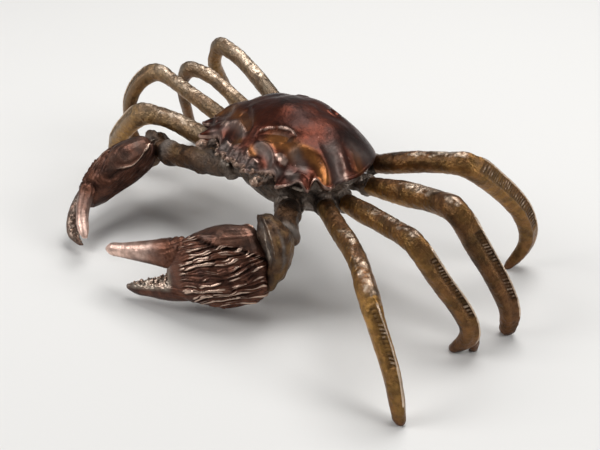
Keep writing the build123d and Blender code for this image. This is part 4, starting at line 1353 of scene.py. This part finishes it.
# %% Upper fingers
def make_finger(side):
    claw = CLAWS[side]
    thing = make_object("bronze_finger_" + side, *skin(claw_rings(claw, claw["upper"], *UPPER_MESH)))
    points, normals = surface(thing)
    distance, high, thick = to_claw(claw, points)
    base = smooth_step(26, 17, distance)
    uneven = lumps(points, (0.12, 3.5, 81), (0.05, 1.2, 82))
    hairs = smooth_step(25, 18, distance + 2 * blobs(points, 2, 85))
    streak = 0.95 * hairs * (fur(distance, high, thick, claw, 40) - 0.5)
    streak -= 0.25 * bump(distance, 18.6 + 0.3 * high, 0.5)
    push_out(thing, points, normals, uneven * (0.3 + 0.7 * base) + streak)
    proud = weather(thing, reach=8)
    polished = smooth_step(22, 33, distance + 2.5 * blobs(points, 3, 84))
    keep(thing, high=0.9 * smooth_step(0.3, 1.3, proud) * np.maximum(base, hairs),
         gold=polished * smooth_step(-1.6, 0.2, high / claw["height"] - 2.4))
    finish_piece(thing, "fingertip_bronze", "finger_" + side)


for side in CLAWS:
    make_finger(side)

# %% [markdown]
# ## Wrists and arms
#
# Each wrist caps the rear of its claw: a wedge whose front face is dished, with a thin raised edge
# that stands up beside the palm. The arm behind it is a swept section with a flared collar where
# the two were brazed.


# %% Wrists
WRIST_RINGS, WRIST_SIDES = 90, 64
WRIST_LUMPS = {"left": 0.34, "right": 0.55}
DISH_AT, DISH_DEPTH = radians(52), 0.9
RIM_HEIGHT, CREASE_DEPTH = 0.55, 0.3


def make_wrist(side):
    claw = CLAWS[side]
    along, rise, out = claw_axes(claw)
    table = np.array(claw["wrist"])
    heights = np.linspace(table[0, 0], table[-1, 0], WRIST_RINGS)
    middle, half, thick = spline_at(table[:, 0], table[:, 1:], heights).T
    turn = turns(WRIST_SIDES)
    base = np.array(claw["base"])
    rings = [base + rise * h + along * (m + w * np.cos(turn))[:, None] + out * (t * np.sin(turn))[:, None]
             for h, m, w, t in zip(heights, middle, half, thick)]
    thing = make_object("bronze_wrist_" + side, *skin(rings))
    points, normals = surface(thing)
    share, angle = with_ends(np.repeat(np.linspace(0, 1, WRIST_RINGS), WRIST_SIDES),
                             np.tile(turn, WRIST_RINGS))
    upper = window(share, 0.3, 0.5, 0.9, 1)
    dish = -DISH_DEPTH * bump(angle, DISH_AT, 0.36) * upper
    lines = blobs(np.column_stack([angle * 7, share * 3, 0 * share]), 1, 99)
    rim = (bump(angle, radians(16), 0.11) + bump(angle, radians(90), 0.12)) * smooth_step(0.3, 0.6, share)
    crease = bump(angle, radians(128), 0.1) * smooth_step(0.2, 0.4, share) * smooth_step(0.9, 0.7, share)
    lumpy = WRIST_LUMPS[side]
    uneven = lumps(points, (lumpy, 2.6, 91), (0.7 * lumpy, 1.2, 92), (0.05, 0.6, 93))
    in_dish = bump(angle, DISH_AT, 0.5) * upper
    push_out(thing, points, normals,
             dish + RIM_HEIGHT * rim - CREASE_DEPTH * crease + uneven + 0.3 * lines * in_dish)
    proud = weather(thing, reach=6)
    fine = patches(points, 0.8, 90)
    worn = np.maximum(0.7 * smooth_step(0.5, 1.8, proud) * fine, 0.8 * rim * (0.6 + 0.4 * fine))
    grey = in_dish * (0.75 - 0.35 * lines) + 0.4 * smooth_step(0.2, 0.9, blobs(points, 3, 94))
    keep(thing, high=np.maximum(worn, 0.75 * in_dish * smooth_step(0.0, 0.6, lines)), low=grey + crease,
         gold=smooth_step(radians(80), radians(110), angle) * (0.2 + 0.5 * blobs(points, 2, 95)))
    finish_piece(thing, "limb_bronze", "wrist_" + side)


for side in CLAWS:
    make_wrist(side)


# %% Arms
ARM_STATIONS, ARM_SIDES = 130, 60
COLLAR_HEIGHT, NECK_DEPTH = 0.35, 0.3


def make_arm(side):
    rings, share, angle, _ = sweep(ARM_PATHS[side], ARM_SIZES, np.linspace(0, 1, ARM_STATIONS), ARM_SIDES)
    points, faces = skin(rings)
    thing = make_object("bronze_arm_" + side, points, faces)
    share, angle = with_ends(share, angle)
    collar = COLLAR_HEIGHT * bump(share, 0.8, 0.06) - NECK_DEPTH * bump(share, 0.9, 0.03)
    uneven = lumps(points, (0.3, 3.0, 95), (0.16, 1.2, 96), (0.09, 0.6, 98))
    push_out(thing, points, surface(thing)[1], collar + uneven)
    proud = weather(thing, reach=6)
    collar_grey = bump(share, 0.8, 0.09) * smooth_step(-0.4, 0.6, np.sin(angle))
    root_grey = smooth_step(0.45, 0.1, share) * patches(points, 2, 97)
    keep(thing, high=0.8 * smooth_step(0.4, 1.6, proud), low=np.maximum(collar_grey, root_grey),
         gold=0.35 * smooth_step(0.2, 0.9, blobs(points, 3, 97)))
    finish_piece(thing, "limb_bronze", "arm_" + side)


for side in ARM_PATHS:
    make_arm(side)

# %% [markdown]
# ## The underbody
#
# Under the shell is a tray that narrows downward. The limbs enter it through knobbly stubs, and the
# metal there is grey and rough from brazing. All of it is melted into one skin, then roughened.

# %% Underbody
SMOOTH = [(0, -17.3), (5, -17.2), (10.4, -15.8), (15.2, -13.4), (19.4, -10.2), (21.9, -6.2),
          (21.6, -1.6), (19.9, 3.0), (17.4, 7.2), (13.4, 10.6), (7.6, 12.6)]
SMOOTH_TAIL = (0, 13.1)
COXA_INSET = 0.27
MOUTH_PLATE = [(0.35, -2.2), (4.6, -2.2), (5.2, -4.6), (4.0, -7.6), (0.35, -8.2)]
MOUTH_Y, MOUTH_SLOPE, MOUTH_THICK = -17.9, 0.33, 3
TRAY = [(0.9, 1.0), (1, 0.6), (1, -1.5), (1.035, -1.9), (1.045, -2.2), (1.02, -2.6), (0.96, -3.1),
        (0.88, -6.4), (0.77, -10.0), (0.62, -12.8)]
LEG_ROOT_R, ARM_ROOT_R = 2.5, 3.2
FLAP = [(0, -7.5), (3.2, -3), (5.4, 2.5), (4.4, 6.6), (-4.4, 6.6), (-5.4, 2.5), (-3.2, -3)]
FLAP_LEVELS = (-13.5, -12.0)
FLAP_JOINTS, STERNUM_JOINTS = (-3.6, -1.2, 1.2, 3.4, 5.2), (-9.5, -6.0, -2.4, 1.2, 4.8)
BODY_GRAIN = 0.36
TRAY_SIDES = 96
BALL_RINGS, BALL_SIDES = 14, 18
BALL_END = 0.12      # radians between each pole and the ring next to it


def body_rings(outline, levels):
    """rings of an outline, drawn in by a share at each height"""
    loop = loop_at(loop_keys(outline), outline, TRAY_SIDES)
    centre = np.array([0, DOME_CENTRE_Y])
    rings = [np.column_stack([centre + (loop - centre) * s, np.full(TRAY_SIDES, z)]) for s, z in levels]
    return np.array([tilt(ring) for ring in rings])


def ball(centre, radius):
    """closed round lump"""
    rise, turn = np.linspace(BALL_END, pi - BALL_END, BALL_RINGS), turns(BALL_SIDES)
    rings = [np.column_stack([np.sin(a) * np.cos(turn), np.sin(a) * np.sin(turn), 0 * turn + np.cos(a)])
             for a in rise]
    points, faces = skin(rings)
    return np.array(centre) + points * radius, faces


def circle(along, sides):
    """ring of radius 1 round a direction"""
    across, turn = unit(np.cross(along, UP)), turns(sides)
    return np.cos(turn)[:, None] * across + np.sin(turn)[:, None] * np.cross(across, along)


def stub(start, end, radius_start, radius_end):
    """straight tapered rod between two places"""
    ring = circle(unit(end - start), BALL_SIDES)
    return skin([start + ring * radius_start, end + ring * radius_end])


def body_forms():
    """tray, mouth plates, the limbs' stubs and the tail flap, before they are melted together"""
    forms = [skin(body_rings(both_sides(SMOOTH, SMOOTH_TAIL), TRAY))]
    for way in (1, -1):
        plate = [[(way * x, MOUTH_Y - z * MOUTH_SLOPE + back, z) for x, z in MOUTH_PLATE]
                 for back in (0, MOUTH_THICK)]
        forms.append(skin([tilt(np.array(ring)) for ring in plate]))
    roots = [(path, LEG_ROOT_R) for path in LEG_PATHS.values()]
    roots += [(path, ARM_ROOT_R) for path in ARM_PATHS.values()]
    for path, radius in roots:
        start = np.array(path[0], float)
        inset = (start - np.array([0, DOME_CENTRE_Y, start[2] + 1.5])) * COXA_INSET
        ahead = unit(np.array(path[1]) - start)
        forms.append(stub(start - inset, start, radius * 0.95, radius))
        forms.append(ball(start - ahead * 0.6, radius * 1.12))
    forms.append(skin([tilt(np.array([(x, y, z) for x, y in FLAP])) for z in FLAP_LEVELS]))
    return forms


def make_underbody():
    thing = melted("bronze_underbody", body_forms(), BODY_GRAIN, 4)
    points, normals = surface(thing)
    outer = np.abs(points[:, 0]) + np.abs(points[:, 1]) * 0.6
    brazed = smooth_step(8, 18, outer)
    lumpy = lumps(points, (0.42, 2.2, 51), (0.32, 1.0, 52))
    below = smooth_step(-0.6, -0.9, normals[:, 2])
    middle = np.abs(points[:, 0]) < 5.6 - 0.25 * np.abs(points[:, 1])
    joints = sum(bump(points[:, 1], y, 0.3) for y in FLAP_JOINTS) * middle
    joints += sum(bump(points[:, 1], y - 0.12 * np.abs(points[:, 0]), 0.3) for y in STERNUM_JOINTS) * ~middle
    points += normals * (lumpy * brazed - 0.35 * joints * below)[:, None]
    push_out(thing, points, normals, 0.06 * blobs(points, 0.6, 53) * (0.3 + 0.7 * brazed))
    proud = weather(thing, reach=5)
    keep(thing, high=0.85 * smooth_step(0.2, 1.3, proud) * smooth_step(8, 16, outer),
         gold=smooth_step(0.4, 0.8, patches(points, 2.5, 54)) * 0.8)
    finish_piece(thing, "underside_bronze", "underbody")


make_underbody()


# %% Eyes
# along an eye: share of its length, radius
EYE_PROFILE = [(0, 1.15), (0.3, 1.1), (0.45, 0.95), (0.54, 0.82), (0.62, 1.0), (0.72, 1.22), (0.84, 1.24),
               (0.92, 1.05), (0.97, 0.72), (1, 0.25)]
EYE_RINGS, EYE_SIDES = 60, 36


def make_eye(side, sign):
    root = np.array([sign * 11.9, -16.4, RIM_Z - 1.4])
    tip = np.array([sign * 11.7, -23.4, RIM_Z + 0.4])
    reach, along = np.linalg.norm(tip - root), unit(tip - root)
    shares = np.linspace(0, 1, EYE_RINGS)
    radius = np.interp(shares, *np.array(EYE_PROFILE).T)
    ring = circle(along, EYE_SIDES)
    rings = [root + along * reach * s + ring * r for s, r in zip(shares, radius)]
    thing = make_object("bronze_eye_" + side, *skin(rings))
    points, normals = surface(thing)
    share = (points - root) @ along / reach
    push_out(thing, points, normals, lumps(points, (0.3, 1.2, 31), (0.18, 0.6, 32)))
    proud = weather(thing, reach=5)
    uneven = patches(points, 0.6, 34)
    worn = np.maximum(smooth_step(0.1, 1.0, proud), smooth_step(0.72, 0.9, share) * (0.45 + 0.55 * uneven))
    keep(thing, high=0.8 * worn,
         gold=0.8 * smooth_step(0.5, 0.7, share) * smooth_step(-0.6, 0.4, blobs(points, 0.9, 33)))
    finish_piece(thing, "eye_bronze", "eye_" + side)


for side, sign in (("left", 1), ("right", -1)):
    make_eye(side, sign)

# %% Grains on the brow and the biting edges
dice = np.random.default_rng(17)
BROW_GRAINS, BITE_GRAINS = 15, 75      # on each half, on each lower finger


def brow_guides():
    """places for grains along the brow's edge and round the orbits, and each one's lean and lift"""
    half = np.array(BROW + ORBIT)
    along = np.linspace(0.02, 0.98, BROW_GRAINS)
    line = np.column_stack([np.interp(along, np.linspace(0, 1, len(half)), half[:, i]) for i in (0, 1)])
    places = []
    for way in (1, -1):
        jitter = dice.uniform(-0.55, 0.55, (BROW_GRAINS, 3)) * (1, 1, 0.7)
        edge = np.column_stack([line[:, 0] * way, line[:, 1] + 0.1, np.full(BROW_GRAINS, -0.25)])
        places.append(edge + jitter)
    count = 2 * BROW_GRAINS
    return tilt(np.concatenate(places)), dice.normal(size=(count, 3)), np.tile(UP, (count, 1))


def bite_guides(side):
    """places for grains along a lower finger's biting edge, and each one's lean and lift"""
    claw = CLAWS[side]
    table = np.array(claw["lower"], float)
    distance = dice.uniform(18.5, 33, BITE_GRAINS)
    middle, tall, thick, outward = spline_at(table[:, 0], table[:, 1:], distance).T
    turn = dice.uniform(radians(35), radians(145), BITE_GRAINS)
    high = (middle + tall * np.sin(turn)) * claw["height"]
    ring = outward + thick * np.cos(turn) * 0.9
    places = from_claw(claw, distance, high, ring)
    lift = from_claw(claw, distance, high + 1, ring) - places
    return places, lift + dice.normal(size=(BITE_GRAINS, 3)) * 0.5, lift


lay_grains("brow_nodules", brow_guides(), "eye_bronze", 0.7, Length=0.0016, Width=0.0011, Height=0.0010,
           Variation=0.4, Seed=11)
for side in CLAWS:
    lay_grains("bite_grains_" + side, bite_guides(side), "claw_bronze", 0.9, Length=0.0011, Width=0.0005,
               Height=0.0005, Variation=0.45, Seed=12)
